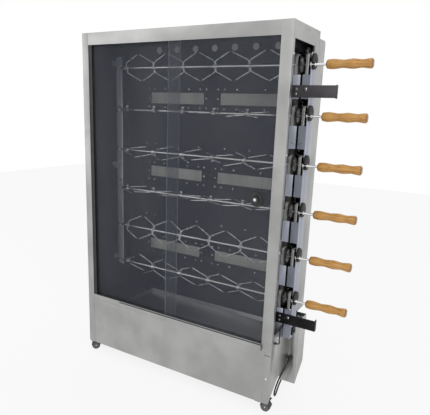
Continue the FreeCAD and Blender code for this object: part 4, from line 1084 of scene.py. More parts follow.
softened("base_frame", "baseFrame", "frame", 0.6 * mm)
for name, pivot, centre, axle in casterPlaces():
    makeCaster(name, pivot, centre, axle, casterLook)
print("casters ready")


# Doors and their channels

doorKnobLook = {
    "flange": 33.0,
    "grip": 19.0,
    "reach": 27.0,
}


def makeDoorKnob(look):
    lowest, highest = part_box("door_knob")
    flange = look["flange"]
    centre = Vector(((lowest.x + highest.x) / 2, lowest.y + look["reach"] * mm, (lowest.z + highest.z) / 2))
    body = [(0, flange), (2.6, flange), (4.0, flange - 0.7), (4.9, flange - 2.4),
            (5.0, 27.0), (4.2, 25.6), (4.2, 24.0), (5.0, 22.6), (5.4, 17.0), (7.0, 14.6), (11.5, 14.0),
            (13.4, 15.4), (14.4, 18.0), (15.6, look["grip"]), (21.5, 18.4), (25.2, 17.6), (26.6, 16.6),
            (27.0, 15.2), (26.4, 13.0), (24.9, 10.4), (24.6, 7.0)]  # groove, waist and dished grip
    pieces = [lathed("knobBody", "knob", centre + Vector((0, -0.05 * mm, 0)), toFront, body, 64),
              lathed("knobScrew", "screw", centre + Vector((0, -24.2 * mm, 0)), toFront,
                     [(0, 6.4), (1.2, 6.4), (1.9, 5.6), (2.2, 4.0), (2.2, 0.6)], 40),
              lathed("knobNut", "screw", Vector((centre.x, highest.y - 7.5 * mm, centre.z)), -toFront,
                     [(0, 5.0), (4.8, 5.0), (4.9, 14.0), (6.6, 14.0), (7.4, 13.0), (7.5, 6.0)], 36)]
    return assembled("doorKnob", pieces, "door_knob")


def makePane(node, name):  # the ground edges of a pane are paler than its faces
    pane = softened(node, name, "glass", 0.7 * mm)
    pane.data.materials.append(finishes["glassEdge"])
    for face in pane.data.polygons:
        if abs(face.normal.x) > 0.5:
            face.material_index = 1


makePane("left_door_glass", "leftDoorGlass")
makePane("right_door_glass", "rightDoorGlass")
softened("door_tracks", "doorTracks", "track", 0.35 * mm)
makeDoorKnob(doorKnobLook)
print("doors ready")


# Screws

def panHead(name, radius, height):
    domed = [(0, radius), (0.6, radius), (0.6 + height * 0.45, radius * 0.98),
             (0.6 + height * 0.8, radius * 0.8), (0.6 + height * 0.97, radius * 0.45),
             (0.6 + height, radius * 0.12)]
    return lathed(name, "screw", Vector((0, 0, -0.6 * mm)), toTop, domed, 20)


def hexHead(name, radius, height):  # a washer under a six-sided head
    def head(shape):
        turned(shape, Vector((0, 0, -0.4 * mm)), toTop,
               [(0, radius * 1.28), (1.2, radius * 1.28), (1.4, radius * 1.2)], 24)
        base = Vector((0, 0, 0.9 * mm))
        up = Vector((0, 0, mm))
        skinned(shape, [ring(shape, base + up * rise, alongX, -toFront, size * radius * mm, 6)
                        for rise, size in ((0, 1.0), (height - 1.6, 1.0), (height - 0.9, 0.88))])
    return filled(name, head, "screw", 30)


screwLook = {
    "boltFrom": 11.0,
    "rearFrom": 0.1,
    "small": (4.5, 2.4),
    "bolt": (5.0, 4.4),
}


def makeBodyScrews(look):  # every head that the frame holds, with its own way and size
    spots = {"small": [], "bolt": []}
    for group in islands("body_screws"):
        lowest, highest = span(group)
        sizes = highest - lowest
        axis = min(range(3), key=lambda index: sizes[index])
        centre = (lowest + highest) / 2
        kind = "bolt" if max(sizes) > look["boltFrom"] * mm else "small"
        if axis == 0:
            way = "+X" if centre.x > 0 else "-X"
            centre.x = casingRight if centre.x > 0 else casingLeft
        else:
            way = "+Y" if centre.y > look["rearFrom"] else "-Y"
            centre.y = lowest.y if way == "+Y" else highest.y - (1.0 * mm if kind == "small" else 0)
        spots[kind].append((centre, facing[way]))
    small = repeated("bodyScrews", panHead("smallHead", *look["small"]), spots["small"], "screw")
    bolts = repeated("armBolts", hexHead("boltHead", *look["bolt"]), spots["bolt"], "screw")
    return assembled("caseFasteners", [small, bolts], "body_screws")


makeBodyScrews(screwLook)


# Cooking chamber: walls, heat ports, burner windows and their rings of screws

chamberLook = {
    "ringTop": 45.0,
    "ringSide": 14.0,
    "ringAlong": (22.0, 88.0, 232.0, 298.0),
    "bracketRises": (745.0, 1131.0),
    "bracketPlaces": (167.0, 227.0, 361.0, 495.0, 643.0, 777.0, 905.0),
    "screw": 4.2,
    "tileReach": 5.2,
    "ventRim": 15.5,
    "ventDrop": 51.0,
    "ventBand": (37.0, 70.0),
    "ventStep": 20.0,
    "ventWidest": 40.0,
    "plaques": 4,
    "plaqueGap": 0.5,
}


def burnerBoxes():
    return [span(group) for group in islands("burner_tiles")]


def makeChamber(look):
    softened("chamber_liner", "chamberLiner", "enamel", 0.5 * mm)
    softened("chamber_back", "chamberBack", "enamel", 0.4 * mm)
    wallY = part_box("chamber_back")[0].y
    reach = look["tileReach"] * mm
    places = []
    for lowest, highest in burnerBoxes():
        left, right = lowest.x + reach, highest.x - reach
        rise = (lowest.z + highest.z) / 2
        for along in look["ringAlong"]:
            for way in (-1, 1):
                places.append(Vector((left + along * mm, wallY, rise + way * look["ringTop"] * mm)))
        for x in (left - look["ringSide"] * mm, right + look["ringSide"] * mm):
            for way in (-1, 0, 1):
                places.append(Vector((x, wallY, rise + way * look["ringTop"] * mm)))
    for rise in look["bracketRises"]:
        for x in look["bracketPlaces"]:
            places.append(Vector((casingLeft + x * mm, wallY, rise * mm)))
    screws = repeated("chamberScrews", panHead("wallHead", look["screw"], 2.6),
                      [(place, facing["-Y"]) for place in places], "screw", unevenness=0.12)
    placed(screws, "casing")


def ventPlaces(look):  # the round ports near the top of the back wall
    shape = bmesh.new()
    shape.from_mesh(nodes["chamber_back"].data)
    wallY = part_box("chamber_back")[0].y
    high, low = [roofHeight - drop * mm for drop in look["ventBand"]]
    edges = sorted({round(vert.co.x, 4) for vert in shape.verts
                    if low < vert.co.z < high and near(vert.co.y, wallY)})
    shape.free()
    groups = []
    for x in edges:
        if groups and x - groups[-1][-1] < look["ventStep"] * mm:
            groups[-1].append(x)
        else:
            groups.append([x])
    return [Vector(((group[0] + group[-1]) / 2, wallY, roofHeight - look["ventDrop"] * mm))
            for group in groups if group[-1] - group[0] < look["ventWidest"] * mm]


def makeVents(look):  # pressed caps in the ports, painted near-white as painted light for the brightness seen through the ports
    rim = look["ventRim"]
    master = lathed("portCap", "ventPaintedLight", Vector((0, 0, -2.5 * mm)), toTop,
                    [(0, 12.2), (2.6, 12.2), (2.7, rim), (3.6, rim), (4.1, rim - 1.0), (3.9, 12.6),
                     (3.2, 11.8), (3.6, 10.8), (4.9, 7.8), (5.6, 4.4), (5.8, 0.8)], 32)
    caps = repeated("heatPorts", master, [(place, facing["-Y"]) for place in ventPlaces(look)], "ventPaintedLight")
    placed(caps, "casing")


def makeBurners(look):
    softened("burner_housings", "burnerHousings", "steelInner", 0.4 * mm)
    count, gap = look["plaques"], look["plaqueGap"] * mm

    def plaques(shape):  # ceramic blocks side by side in each housing, a joint between them
        for lowest, highest in burnerBoxes():
            step = (highest.x - lowest.x) / count
            for index in range(count):
                start = Vector((lowest.x + step * index + (gap if index else 0), lowest.y, lowest.z))
                end = Vector((lowest.x + step * (index + 1) - (gap if index < count - 1 else 0),
                              highest.y, highest.z))
                brick(shape, start, end)

    tiles = rounded(filled("burnerPlaques", plaques, "tile"), 0.9 * mm, 2, 40)
    placed(tiles, "casing", ["burner_tiles"])


makeChamber(chamberLook)
makeVents(chamberLook)
makeBurners(chamberLook)
print("chamber ready")


# Gas line and rear cover

tapKnobLook = {
    "skirt": 21.0,
    "grip": 16.0,
    "ribs": 18,
}


def makeGasKnob(node, look):
    lowest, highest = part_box(node)
    centre = Vector((casingLeft, (lowest.y + highest.y) / 2, (lowest.z + highest.z) / 2))
    outward = Vector((-1, 0, 0))
    skirt, grip = look["skirt"], look["grip"]
    body = [(0, 4.4), (0, skirt - 1), (0.8, skirt), (2.6, skirt), (3.6, skirt - 1.2), (4.2, grip + 1.2),
            (6.0, grip), (20.5, grip - 1.4), (22.4, grip - 2.6), (23.0, grip - 5)]

    def block(name, finish, first, last, *edge):
        piece = filled(name, lambda shape: brick(shape, centre + Vector(first) * mm,
                                                 centre + Vector(last) * mm), finish)
        return rounded(piece, *edge)

    ribs = []
    for index in range(look["ribs"]):
        angle = 2 * math.pi * index / look["ribs"]
        offset = Vector((-13, grip * 0.955 * math.cos(angle), grip * 0.955 * math.sin(angle))) * mm
        ribs.append((centre + offset, (0, 0, 0)))
    rib = lathed("knobRib", "knob", Vector((7 * mm, 0, 0)), outward,
                 [(0, 0.7), (0.6, 1.3), (13.2, 1.2), (14.0, 0.5)], 8)
    pieces = [lathed("tapBody", "knob", centre + outward * mm, outward, body, 48),
              block("tapBar", "knob", (-27, -3.2, -17.0), (-6, 3.2, 17.0), 1.4 * mm, 3, 40),
              block("tapMark", "mark", (-27.3, -0.9, 6.0), (-26.6, 0.9, 15.5), 0.2 * mm, 2, 40),
              lathed("tapSpindle", "brass", centre + Vector((highest.x - casingLeft, 0, 0)), outward,
                     [(0, 3.4), (0.8, 4.0), (44, 4.0)], 20),
              repeated("tapRibs", rib, ribs, "knob")]
    return assembled(node + "Turned", pieces, node)


softened("gas_manifold", "gasManifold", "brass", 0.5 * mm)
for number in (1, 2, 3):
    makeGasKnob(f"gas_knob_{number}", tapKnobLook)


louvreLook = {
    "columns": (220.0, 480.0, 740.0),
    "width": 110.0,
    "count": 8,
    "pitch": 22.0,
    "firstDrop": 149.0,
    "lift": 5.0,
}


def makeLouvres(look):  # a pressed hood over every slot of the rear cover
    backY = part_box("rear_cover")[1].y

    def hood(shape):
        sections = []
        count = 12
        for index in range(count + 1):
            share = index / count
            x = (share - 0.5) * (look["width"] + 8) * mm
            rise = math.sin(math.pi * share) ** 0.28 * look["lift"] * mm if 0 < share < 1 else 0.0
            rim = [Vector((x, 0, 13 * mm)), Vector((x, rise * 0.55, 11 * mm)), Vector((x, rise, 6 * mm)),
                   Vector((x, rise, 1 * mm)), Vector((x, max(rise - 0.9 * mm, 0), 1 * mm)),
                   Vector((x, max(rise - 0.9 * mm, 0), 6 * mm)),
                   Vector((x, max(rise * 0.5 - 0.5 * mm, 0), 10 * mm)), Vector((x, -0.4 * mm, 12 * mm))]
            sections.append([shape.verts.new(point) for point in rim])
        for first, second in zip(sections, sections[1:]):
            for index in range(len(first)):
                after = (index + 1) % len(first)
                shape.faces.new((first[index], first[after], second[after], second[index]))
        shape.faces.new(sections[0])
        shape.faces.new(sections[-1])

    places = []
    for left in look["columns"]:
        for number in range(look["count"]):
            place = spot(left + look["width"] / 2, 0, 0)
            place.y = backY - 0.2 * mm
            place.z = roofHeight - (look["firstDrop"] + number * look["pitch"]) * mm
            places.append((place, (0, 0, 0)))
    master = filled("louvreHood", hood, "steelUpright")
    placed(repeated("rearLouvres", master, places, "steelUpright"), "casing")


makeLouvres(louvreLook)
print("gas line and rear cover ready")


# Spits: shaft with its chain wheel, wire forks and wood handle

axisPlaces = {joint["name"]: Vector(joint["pos_m"]) for joint in frame["joints"] if "pos_m" in joint}

wheelLook = {
    "teeth": 12,
    "root": 25.2,
    "tip": 32.3,
    "thick": 5.0,
    "samples": 14,
    "chainX": -14.0,
}

spitLook = {
    "start": 68.0,
    "radius": 5.0,
    "collar": 10.0,
    "journal": 6.9,
    "tang": 4.1,
    "tangLength": 90.0,
    "handleStart": 88.0,
}

forkLook = {
    "firstX": 153.0,
    "pitch": 168.5,
    "count": 6,
    "wire": 2.35,
    "stem": 24.0,
    "reach": 79.0,
    "tipRadius": 62.0,
    "turns": ((218, 195, 208, 206, 210, 204), (340, 337, 337, 348, 355, 350), (280, 271, 268, 272, 274, 270),
              (106, 118, 118, 103, 116, 116), (268, 270, 271, 268, 282, 270), (14, 15, 15, 13, 20, 4)),
}

handleLook = {
    "profile": ((0.0, 11.0), (1.2, 13.6), (3.2, 16.0), (6.5, 17.4), (26.0, 19.5), (46, 17.6), (66.0, 15.5),
                (85, 17.4), (104.0, 19.0), (121, 17.2), (138.0, 15.5), (153, 17.4), (168.0, 19.0),
                (172.5, 18.2), (175.4, 15.6), (177.0, 12.4), (177.8, 8.0)),
    "steps": 5,
}


def smoothProfile(points, steps):  # a soft curve through (along, radius) pairs
    result = []
    for index in range(len(points) - 1):
        before = points[max(index - 1, 0)]
        start, end = points[index], points[index + 1]
        after = points[min(index + 2, len(points) - 1)]
        for step in range(steps):
            share = step / steps
            pair = []
            for axis in (0, 1):
                run = end[axis] - start[axis]
                slopes = []
                for first, last in ((before, end), (start, after)):
                    slope = (last[axis] - first[axis]) / (last[0] - first[0])
                    slopes.append(slope * (end[0] - start[0]))
                curve = (2 * share ** 3 - 3 * share ** 2 + 1) * start[axis]
                curve += (share ** 3 - 2 * share ** 2 + share) * slopes[0]
                curve += (3 * share ** 2 - 2 * share ** 3) * end[axis] + (share ** 3 - share ** 2) * slopes[1]
                pair.append(curve if axis else start[axis] + run * share)
            result.append(tuple(pair))
    result.append(points[-1])
    return result


def toothedWheel(name, centre, teeth, root, tip, phase, look=wheelLook):  # phase: where one tooth points
    thick, low = look["thick"], root - 0.5
    count = teeth * look["samples"]

    def disc(shape):
        outline = []
        for index in range(count):
            share = (index / look["samples"]) % 1.0
            side = abs(share - 0.5) * 2  # 1 on a tooth, 0 in a valley
            lift = max(0.0, min(1.0, (side - 0.30) / 0.58))
            lift = lift * lift * (3 - 2 * lift)
            radius = (low + (tip - root + 0.5) * lift) * mm
            angle = phase + 2 * math.pi * index / count
            outline.append(centre + Vector((-thick / 2 * mm, radius * math.cos(angle),
                                            radius * math.sin(angle))))
        slab(shape, outline, alongX * thick * mm)
    return rounded(filled(name, disc, "sprocket"), 0.7 * mm, 2, 60)


def makeShaft(number, axis, look):
    start = Vector((casingLeft + look["start"] * mm, axis.y, axis.z))
    right = (casingRight - start.x) / mm
    chainAt = right + wheelLook["chainX"]
    radius, collar, journal, tang = look["radius"], look["collar"], look["journal"], look["tang"]
    grip = right + look["handleStart"]
    point = [(0, 0.8), (1.2, 2.0), (12, radius - 0.3), (15, radius), (chainAt, radius)]
    ball = [(17.3, radius), (17.5, collar - 3.2), (18.6, collar - 1.5), (20.4, collar - 0.4), (23, collar),
            (26, collar), (28.4, collar - 0.4), (30.2, collar - 1.5), (31.3, journal + 0.1),
            (31.6, journal), (42.2, journal), (43, journal - 0.8), (43.1, radius + 0.5), (45, radius)]
    tail = [(grip - 0.4, radius), (grip, tang), (grip + look["tangLength"] - 1, tang),
            (grip + look["tangLength"], tang - 0.9)]
    hub = [(-8.5, 10.8), (-7.6, 12.0), (-2.0, 12.0), (-1.0, 11.6), (2.6, 11.6), (2.7, 7.4), (3.4, 6.9)]
    pieces = [lathed(f"spitRod{number}", "chrome", start, alongX,
                     point + [(right + along, size) for along, size in ball] + tail, 40),
              lathed(f"spitHub{number}", "sprocket", start, alongX,
                     [(chainAt + along, size) for along, size in hub], 40),
              lathed(f"spitPin{number}", "screw",
                     Vector((start.x + (chainAt - 5) * mm, axis.y, axis.z + 10.5 * mm)), toTop,
                     [(0, 2.2), (1.9, 2.2), (2.2, 1.7), (2.2, 1.2), (1.2, 1.0)], 16),
              toothedWheel(f"spitWheel{number}", Vector((start.x + chainAt * mm, axis.y, axis.z)),
                           wheelLook["teeth"], wheelLook["root"], wheelLook["tip"], 0.0)]
    assembled(f"spitShaft{number}", pieces, f"spit_{number}_shaft")


def makeForks(number, axis, look):
    turns = [Matrix.Rotation(math.radians(turn), 3, "X") for turn in look["turns"][number - 1]]

    def hubPlace(place, shift=0):
        return Vector((casingLeft + (look["firstX"] + place * look["pitch"] + shift) * mm, axis.y, axis.z))

    def wires(shape):
        for place in range(look["count"]):
            centre = hubPlace(place)
            sides = [side for side in (-1, 1) if 0 <= place + side < look["count"]]
            for way in (-1, 1):
                for side in sides:
                    shift = side * look["wire"] * 0.97 if len(sides) > 1 else 0.0
                    corners = [Vector((shift, 0, way * 8.6)), Vector((shift, 0, way * (look["stem"] - 1))),
                               Vector((side * look["reach"], 0, way * look["tipRadius"]))]
                    path = roundedCorners([centre + turns[place] @ (corner * mm) for corner in corners],
                                          9 * mm, 8)
                    last, tip = path[-2], path[-1]
                    for share in (0.35, 0.7, 0.84, 0.92, 0.97):
                        path.insert(-1, last.lerp(tip, share))
                    taper = [1.0] * (len(path) - 5) + [1.0, 0.96, 0.72, 0.40, 0.10]
                    swept(shape, path, look["wire"] * mm, 10, taper)

    def hubs(shape):
        for place in range(look["count"]):
            turned(shape, hubPlace(place, -8), alongX,
                   [(0, 6.4), (0, 9.2), (0.8, 10), (15.2, 10), (16, 9.2), (16, 6.4)], 36)

    def thumb(shape):  # screw with two ears
        for place in range(look["count"]):
            centre = hubPlace(place)
            outward, upward = turns[place] @ toFront, turns[place] @ toTop
            turned(shape, centre + outward * 8.5 * mm, outward,
                   [(0, 2.4), (5.5, 2.4), (5.6, 3.6), (8.4, 3.6), (9.4, 2.6), (9.6, 1.2)], 16)
            for side in (-1, 1):
                outline = []
                for step in range(20):
                    angle = 2 * math.pi * step / 20
                    along = 4.6 + 2.9 * math.cos(angle)
                    out = 17.4 + 3.4 * math.sin(angle) + along * 0.25
                    outline.append(centre + (alongX * side * along + outward * out - upward * 1.1) * mm)
                slab(shape, outline, upward * 2.2 * mm)

    pieces = [filled(f"forkWires{number}", wires, "forks"), filled(f"forkHubs{number}", hubs, "forks"),
              rounded(filled(f"forkThumbs{number}", thumb, "forks"), 0.4 * mm, 2, 50)]
    assembled(f"spitForks{number}", pieces, f"spit_{number}_forks")


finishes["wood"] = turnedWood("turnedWood", casingRight + spitLook["handleStart"] * mm,
                              casingRight + (spitLook["handleStart"] + handleLook["profile"][-1][0]) * mm)


def makeHandle(number, axis, look):
    start = Vector((casingRight + spitLook["handleStart"] * mm, axis.y, axis.z))
    profile = smoothProfile(look["profile"], look["steps"])
    section = [(0.0, 4.5)] + profile + [(178.0, 3.0), (92.0, 3.0), (92.0, 4.5)]
    tangEnd = [(175.0, 3.6), (177.9, 3.6), (178.2, 2.4), (178.4, 1.0)]  # riveted in a washer
    pieces = [lathed(f"woodGrip{number}", "wood", start, alongX, section, 64, True, 50),
              lathed(f"tangEnd{number}", "chrome", start, alongX, tangEnd, 20)]
    assembled(f"spitHandle{number}", pieces, f"spit_{number}_handle")


for number in range(1, 7):
    spitAxis = axisPlaces[f"spit_{number}_turn"]
    makeShaft(number, spitAxis, spitLook)
    makeForks(number, spitAxis, forkLook)
    makeHandle(number, spitAxis, handleLook)
softened("spit_rest_bar", "spitRestBar", "steelInner", 0.4 * mm)
print("spits ready")


# Drive column

columnLook = {
    "outerX": 33.0,
    "front": 128.0,
    "hookWidth": 12.0,
    "hookThick": 2.0,
    "hookLow": 52.0,
    "hookBack": 132.0,
    "hookTop": 24.0,
    "hookCurl": 15.0,
    "hookTurn": 0.78,
    "hookPlaces": (-30.0, 15.5),
    "markRise": 22.0,
    "lipEnd": 4.0,
}


def makeHook(shape, x, axis, look):  # a flat strip whose top curls back over the spit
    half = look["hookWidth"] / 2
    front, thick, curl = look["hookBack"], look["hookThick"], look["hookCurl"]
    low, high = -look["hookLow"], look["hookTop"]
    outer = [(front - thick, low + 3), (front - thick, high)]
    inner = [(front, low + 3), (front, high)]
    for step in range(1, 17):
        angle = math.pi - math.pi * step / 16 * look["hookTurn"]
        for side, size in ((outer, curl + thick), (inner, curl)):
            side.append((front + curl + size * math.cos(angle), high + size * math.sin(angle)))
    outer = [(front - thick, low), (front - thick + 0.01, low + 1)] + outer
    outline = outer + inner[::-1] + [(front, low)]
    points = [sideSpot(x - half, y, z) + Vector((0, 0, axis.z)) for y, z in outline]
    slab(shape, points, alongX * look["hookWidth"] * mm)


def makeColumn(look):
    def notHook(lowest, highest):
        return not (near(highest.x - lowest.x, look["hookWidth"] * mm) and highest.z - lowest.z < 100 * mm
                    and near(lowest.y, casingFront + (look["hookBack"] - look["hookThick"]) * mm))

    plates = bevelled("column_plates", "columnPlates", "steelColumn", 0.35 * mm, wanted=notHook)

    def hooks(shape):
        for number in range(1, 7):
            for x in look["hookPlaces"]:
                makeHook(shape, x, axisPlaces[f"spit_{number}_turn"], look)

    def ticks(shape):  # two short slanted marks scratched beside the slot
        rise = axisPlaces["spit_4_turn"].z + (67 + look["markRise"]) * mm
        for x, side in ((-24.0, 1), (10.0, -1)):
            start = sideSpot(x - 8, look["front"] - 0.15, 0)
            start.z = rise + side * 5 * mm
            slope = Vector((16, 0, -side * 9)) * mm
            slab(shape, [start, start + slope, start + slope + Vector((0, 0, 1.6 * mm)),
                         start + Vector((0, 0, 1.6 * mm))], Vector((0, 0.2 * mm, 0)))

    curls = rounded(filled("columnHooks", hooks, "zinc"), 0.4 * mm, 2, 50)
    marks = filled("columnMarks", ticks, "slit")
    mesh = plates.data
    mesh.materials.append(finishes["greaseAndPaintedShade"])
    mesh.materials.append(finishes["columnLipPaintedLight"])
    for face in mesh.polygons:  # every face except those seen from the front and the outer side is painted near-black: painted shade inside the column, with a film of chain grease
        seenFront = face.normal.y < -0.3 and face.center.y < casingFront + (look["front"] + 1.5) * mm
        seenSide = abs(face.center.x - casingRight - look["outerX"] * mm) < 1 * mm and face.normal.x > 0.3
        if not (seenFront or seenSide):
            face.material_index = 1
        # front faces on the lip take the brighter copy: painted light in the shaded recess
        elif seenFront and face.center.x < casingRight - look["lipEnd"] * mm:
            face.material_index = 2
    assembled("driveColumn", [plates, curls, marks], "column_plates")


makeColumn(columnLook)
softened("bearing_shoes", "bearingShoes", "iron", 1.3 * mm)


# Chain over the top wheel, behind every spit, past the guide and round the motor wheel

chainLook = {
    "linksPerSpit": 13,
    "spitPitch": 200,
    "tries": 20000,
    "plate": 5.0,
    "waist": 3.7,
    "roller": 3.9,
    "innerAt": 2.9,
    "outerAt": 4.35,
    "plateThick": 1.3,
    "pinEnd": 6.4,
    "topRadius": 30.0,
    "guide": (190.0, 422.0, 14.0),
    "motorRadius": 24.0,
    "motorTeeth": 10,
    "motorRoot": 19.6,
    "motorTip": 26.2,
}


class Belt:  # straight runs and arcs, sampled by length
    def __init__(self, wheels):
        self.parts = []
        normals = []
        for (centre, radius), (after, afterRadius) in zip(wheels, wheels[1:] + wheels[:1]):
            along = after - centre
            lean = (radius - afterRadius) / along.length
            along.normalize()
            outward = Vector((along.y, -along.x))
            normals.append(along * lean + outward * math.sqrt(1 - lean * lean))
        for index, (centre, radius) in enumerate(wheels):
            arrive, leave = normals[index - 1], normals[index]
            first = math.atan2(arrive.y, arrive.x)
            turn = (math.atan2(leave.y, leave.x) - first) % (2 * math.pi)
            self.parts.append(("arc", centre, radius, first, radius * turn))
            after, afterRadius = wheels[(index + 1) % len(wheels)]
            start, end = centre + leave * radius, after + leave * afterRadius
            self.parts.append(("run", start, end, 0, (end - start).length))
        self.length = sum(part[-1] for part in self.parts)

    def at(self, distance):  # the place and the way along the belt
        distance %= self.length
        for kind, first, second, angle, length in self.parts:
            if distance <= length:
                break
            distance -= length
        if kind == "run":
            way = (second - first).normalized()
            return first + way * distance, math.atan2(way.y, way.x)
        angle += distance / second
        return first + Vector((math.cos(angle), math.sin(angle))) * second, angle + math.pi / 2


def flatPlace(axis):
    return Vector((axis.y, axis.z))


topWheel = axisPlaces["idler_wheel_turn"]
motorWheel = axisPlaces["motor_wheel_turn"]
guidePlace = spot(0, *chainLook["guide"][:2])
belt = Belt([(flatPlace(topWheel), chainLook["topRadius"] * mm),
             (flatPlace(guidePlace), chainLook["guide"][2] * mm),
             (flatPlace(motorWheel), chainLook["motorRadius"] * mm)])


def linkPlate(shape, x, thick, pitch, look):
    outline = []
    for end in (-1, 1):
        for step in range(9):
            angle = (math.pi / 2 if end > 0 else -math.pi / 2) - math.pi * step / 8
            outline.append((end * pitch / 2 + look["plate"] * mm * math.sin(angle + math.pi / 2),
                            look["plate"] * mm * math.cos(angle + math.pi / 2) * -1))
        outline.append((0.0, (-1 if end > 0 else 1) * look["waist"] * mm * -1))
    slab(shape, [Vector((x, y, z)) for y, z in outline], Vector((thick, 0, 0)))


def makeChain(look):
    count = round(belt.length / (look["spitPitch"] * mm / look["linksPerSpit"]) / 2) * 2
    pitch = belt.length / count
    third = axisPlaces["spit_3_turn"]
    behind = third.y + look["topRadius"] * mm

    def offSpit(distance):
        place = belt.at(distance)[0]
        return abs(place.y - third.z) + abs(place.x - behind)

    tries = look["tries"]
    start = min((belt.length * step / tries for step in range(tries)), key=offSpit) + pitch / 2
    chainX = casingRight + wheelLook["chainX"] * mm

    def drawn(name, plateAt, barStart, bar, sides):  # two plates, with a roller or a pin at each end
        def link(shape):
            for x in (-plateAt - look["plateThick"], plateAt):
                linkPlate(shape, x * mm, look["plateThick"] * mm, pitch, look)
            for end in (-0.5, 0.5):
                turned(shape, Vector((-barStart * mm, end * pitch, 0)), alongX, bar, sides)
        return filled(name, link, "chain")

    pinEnd, innerAt = look["pinEnd"], look["innerAt"]
    inner = drawn("innerLink", innerAt, innerAt, [(0, look["roller"]), (2 * innerAt, look["roller"])], 18)
    outer = drawn("outerLink", look["outerAt"], pinEnd,
                  [(0, 1.5), (0.3, 1.9), (2 * pinEnd - 0.3, 1.9), (2 * pinEnd, 1.5)], 12)
    places = ([], [])
    for index in range(count):
        here, after = belt.at(start + index * pitch)[0], belt.at(start + (index + 1) * pitch)[0]
        middle, way = (here + after) / 2, after - here
        places[index % 2].append((Vector((chainX, middle.x, middle.y)), (math.atan2(way.y, way.x), 0, 0)))
    pieces = [repeated("innerLinks", inner, places[0], "chain"),
              repeated("outerLinks", outer, places[1], "chain")]
    assembled("driveChain", pieces, "drive_chain")
    return start, pitch


chainStart, chainPitch = makeChain(chainLook)


def toothPhase(centre, radius, teeth):  # a tooth between two rollers, radius below 0: at the foot
    middle = flatPlace(centre)
    rim = Vector((0, radius))
    offsets = [belt.at(chainStart + index * chainPitch)[0] - middle
               for index in range(int(belt.length / chainPitch))]
    offset = min(offsets, key=lambda offset: (offset - rim).length)
    return math.atan2(offset.y, offset.x) + math.pi / teeth


def makeWheel(name, place, disc, hub, closed, node):
    pieces = [disc, lathed(name + "Hub", "sprocket", place, alongX, hub, 40, closed)]
    assembled(name + "Wheel", pieces, node)


def makeTopWheel():
    centre = Vector((casingRight + wheelLook["chainX"] * mm, topWheel.y, topWheel.z))
    teeth = wheelLook["teeth"]
    disc = toothedWheel("topTeeth", centre, teeth, wheelLook["root"], wheelLook["tip"],
                        toothPhase(topWheel, chainLook["topRadius"] * mm, teeth))
    makeWheel("top", centre, disc, [(-5.5, 6.1), (-5.5, 12.4), (-4.9, 13.0), (6.0, 13.0), (6.5, 12.4),
                                    (6.5, 6.1)], True, "top_idler")


def makeMotorWheel():
    centre = Vector((casingRight + wheelLook["chainX"] * mm, motorWheel.y, motorWheel.z))
    teeth, root, tip = chainLook["motorTeeth"], chainLook["motorRoot"], chainLook["motorTip"]
    disc = toothedWheel("motorTeeth", centre, teeth, root, tip,
                        toothPhase(motorWheel, -chainLook["motorRadius"] * mm, teeth))
    makeWheel("motor", centre, disc, [(-6.5, 5.2), (-6.0, 6.0), (-2.4, 6.0), (-2.4, 9.6), (4.8, 9.6),
                                      (5.5, 9.0), (5.6, 6.0), (33.0, 6.0), (34.0, 5.2)], False,
              "motor_sprocket")


makeTopWheel()
makeMotorWheel()
print("drive ready")


# Gear motor in the box, and its short lead behind the lower arm

motorLook = {
    "boxLow": 300.0,
    "boxHigh": 368.0,
    "boxFront": 230.0,
    "boxBack": 300.0,
    "boxLeft": 2.0,
    "boxRight": 39.0,
    "motorX": 2.0,
    "motorY": 263.0,
    "radius": 31.0,
    "leadRadius": 2.6,
    "leadPath": ((-6, 43, 330), (18, 43, 331), (14, 50, 356), (8, 68, 377), (-4.25, 96, 384),
                 (-4.25, 134, 386)),
    "sleevePlace": (0, 43, 330.3),
    "ribs": 16,
    "ribStart": 14,
    "ribPitch": 6.6,
    "screwInset": (7, 8),
}


def makeMotor(look):
    low, high, front, back = look["boxLow"], look["boxHigh"], look["boxFront"], look["boxBack"]
    left, right, radius = look["boxLeft"], look["boxRight"], look["radius"]

    def block(name, first, last, *edge):
        piece = filled(name, lambda shape: brick(shape, sideSpot(*first), sideSpot(*last)), "motor")
        return rounded(piece, *edge)

    profile = [(0, radius - 4), (8, radius - 4), (8.4, radius)]  # cooling ribs, and a bell at the end
    for index in range(look["ribs"]):
        start = look["ribStart"] + index * look["ribPitch"]
        profile += [(start, radius), (start + 0.4, radius - 3.4), (start + 3.6, radius - 3.4),
                    (start + 4.0, radius)]
    profile += [(126, radius), (128, radius - 1.5), (146, radius - 3), (149, radius - 6), (150, radius - 10)]

    def lead(shape):
        points = [sideSpot(*place) for place in look["leadPath"]]
        swept(shape, roundedCorners(points, 9 * mm, 8), look["leadRadius"] * mm, 14)

    insetX, insetY = look["screwInset"]
    heads = [(sideSpot(x, y, high), facing["+Z"]) for y in (front + insetY, back - insetY)
             for x in (left + insetX, right - insetX)]
    middle = look["motorY"]
    pieces = [block("gearboxCase", (left, front, low), (right, back, high), 2.2 * mm, 3, 40),
              block("motorNeck", (-24, middle - 28, low - 10), (right, middle + 28, low), 1.4 * mm, 2, 40),
              lathed("motorBody", "motor", sideSpot(look["motorX"], middle, low), -toTop, profile, 48),
              filled("sideLead", lead, "cord"),
              lathed("leadSleeve", "track", sideSpot(*look["sleevePlace"]), alongX,
                     [(0, 2.6), (0, 6.2), (1.6, 6.2), (2.4, 5.4), (4.4, 4.6), (5.0, 3.6), (5.0, 2.6)],
                     28, True),
              repeated("gearboxScrews", hexHead("gearboxHead", 3.4, 3.0), heads, "screw")]
    assembled("gearMotor", pieces, "gear_motor")


makeMotor(motorLook)


# Arms of the drive guard

armLook = {
    "between": 1.0,
    "edge": 0.6 * mm,
    "plateX": 138.0,
}


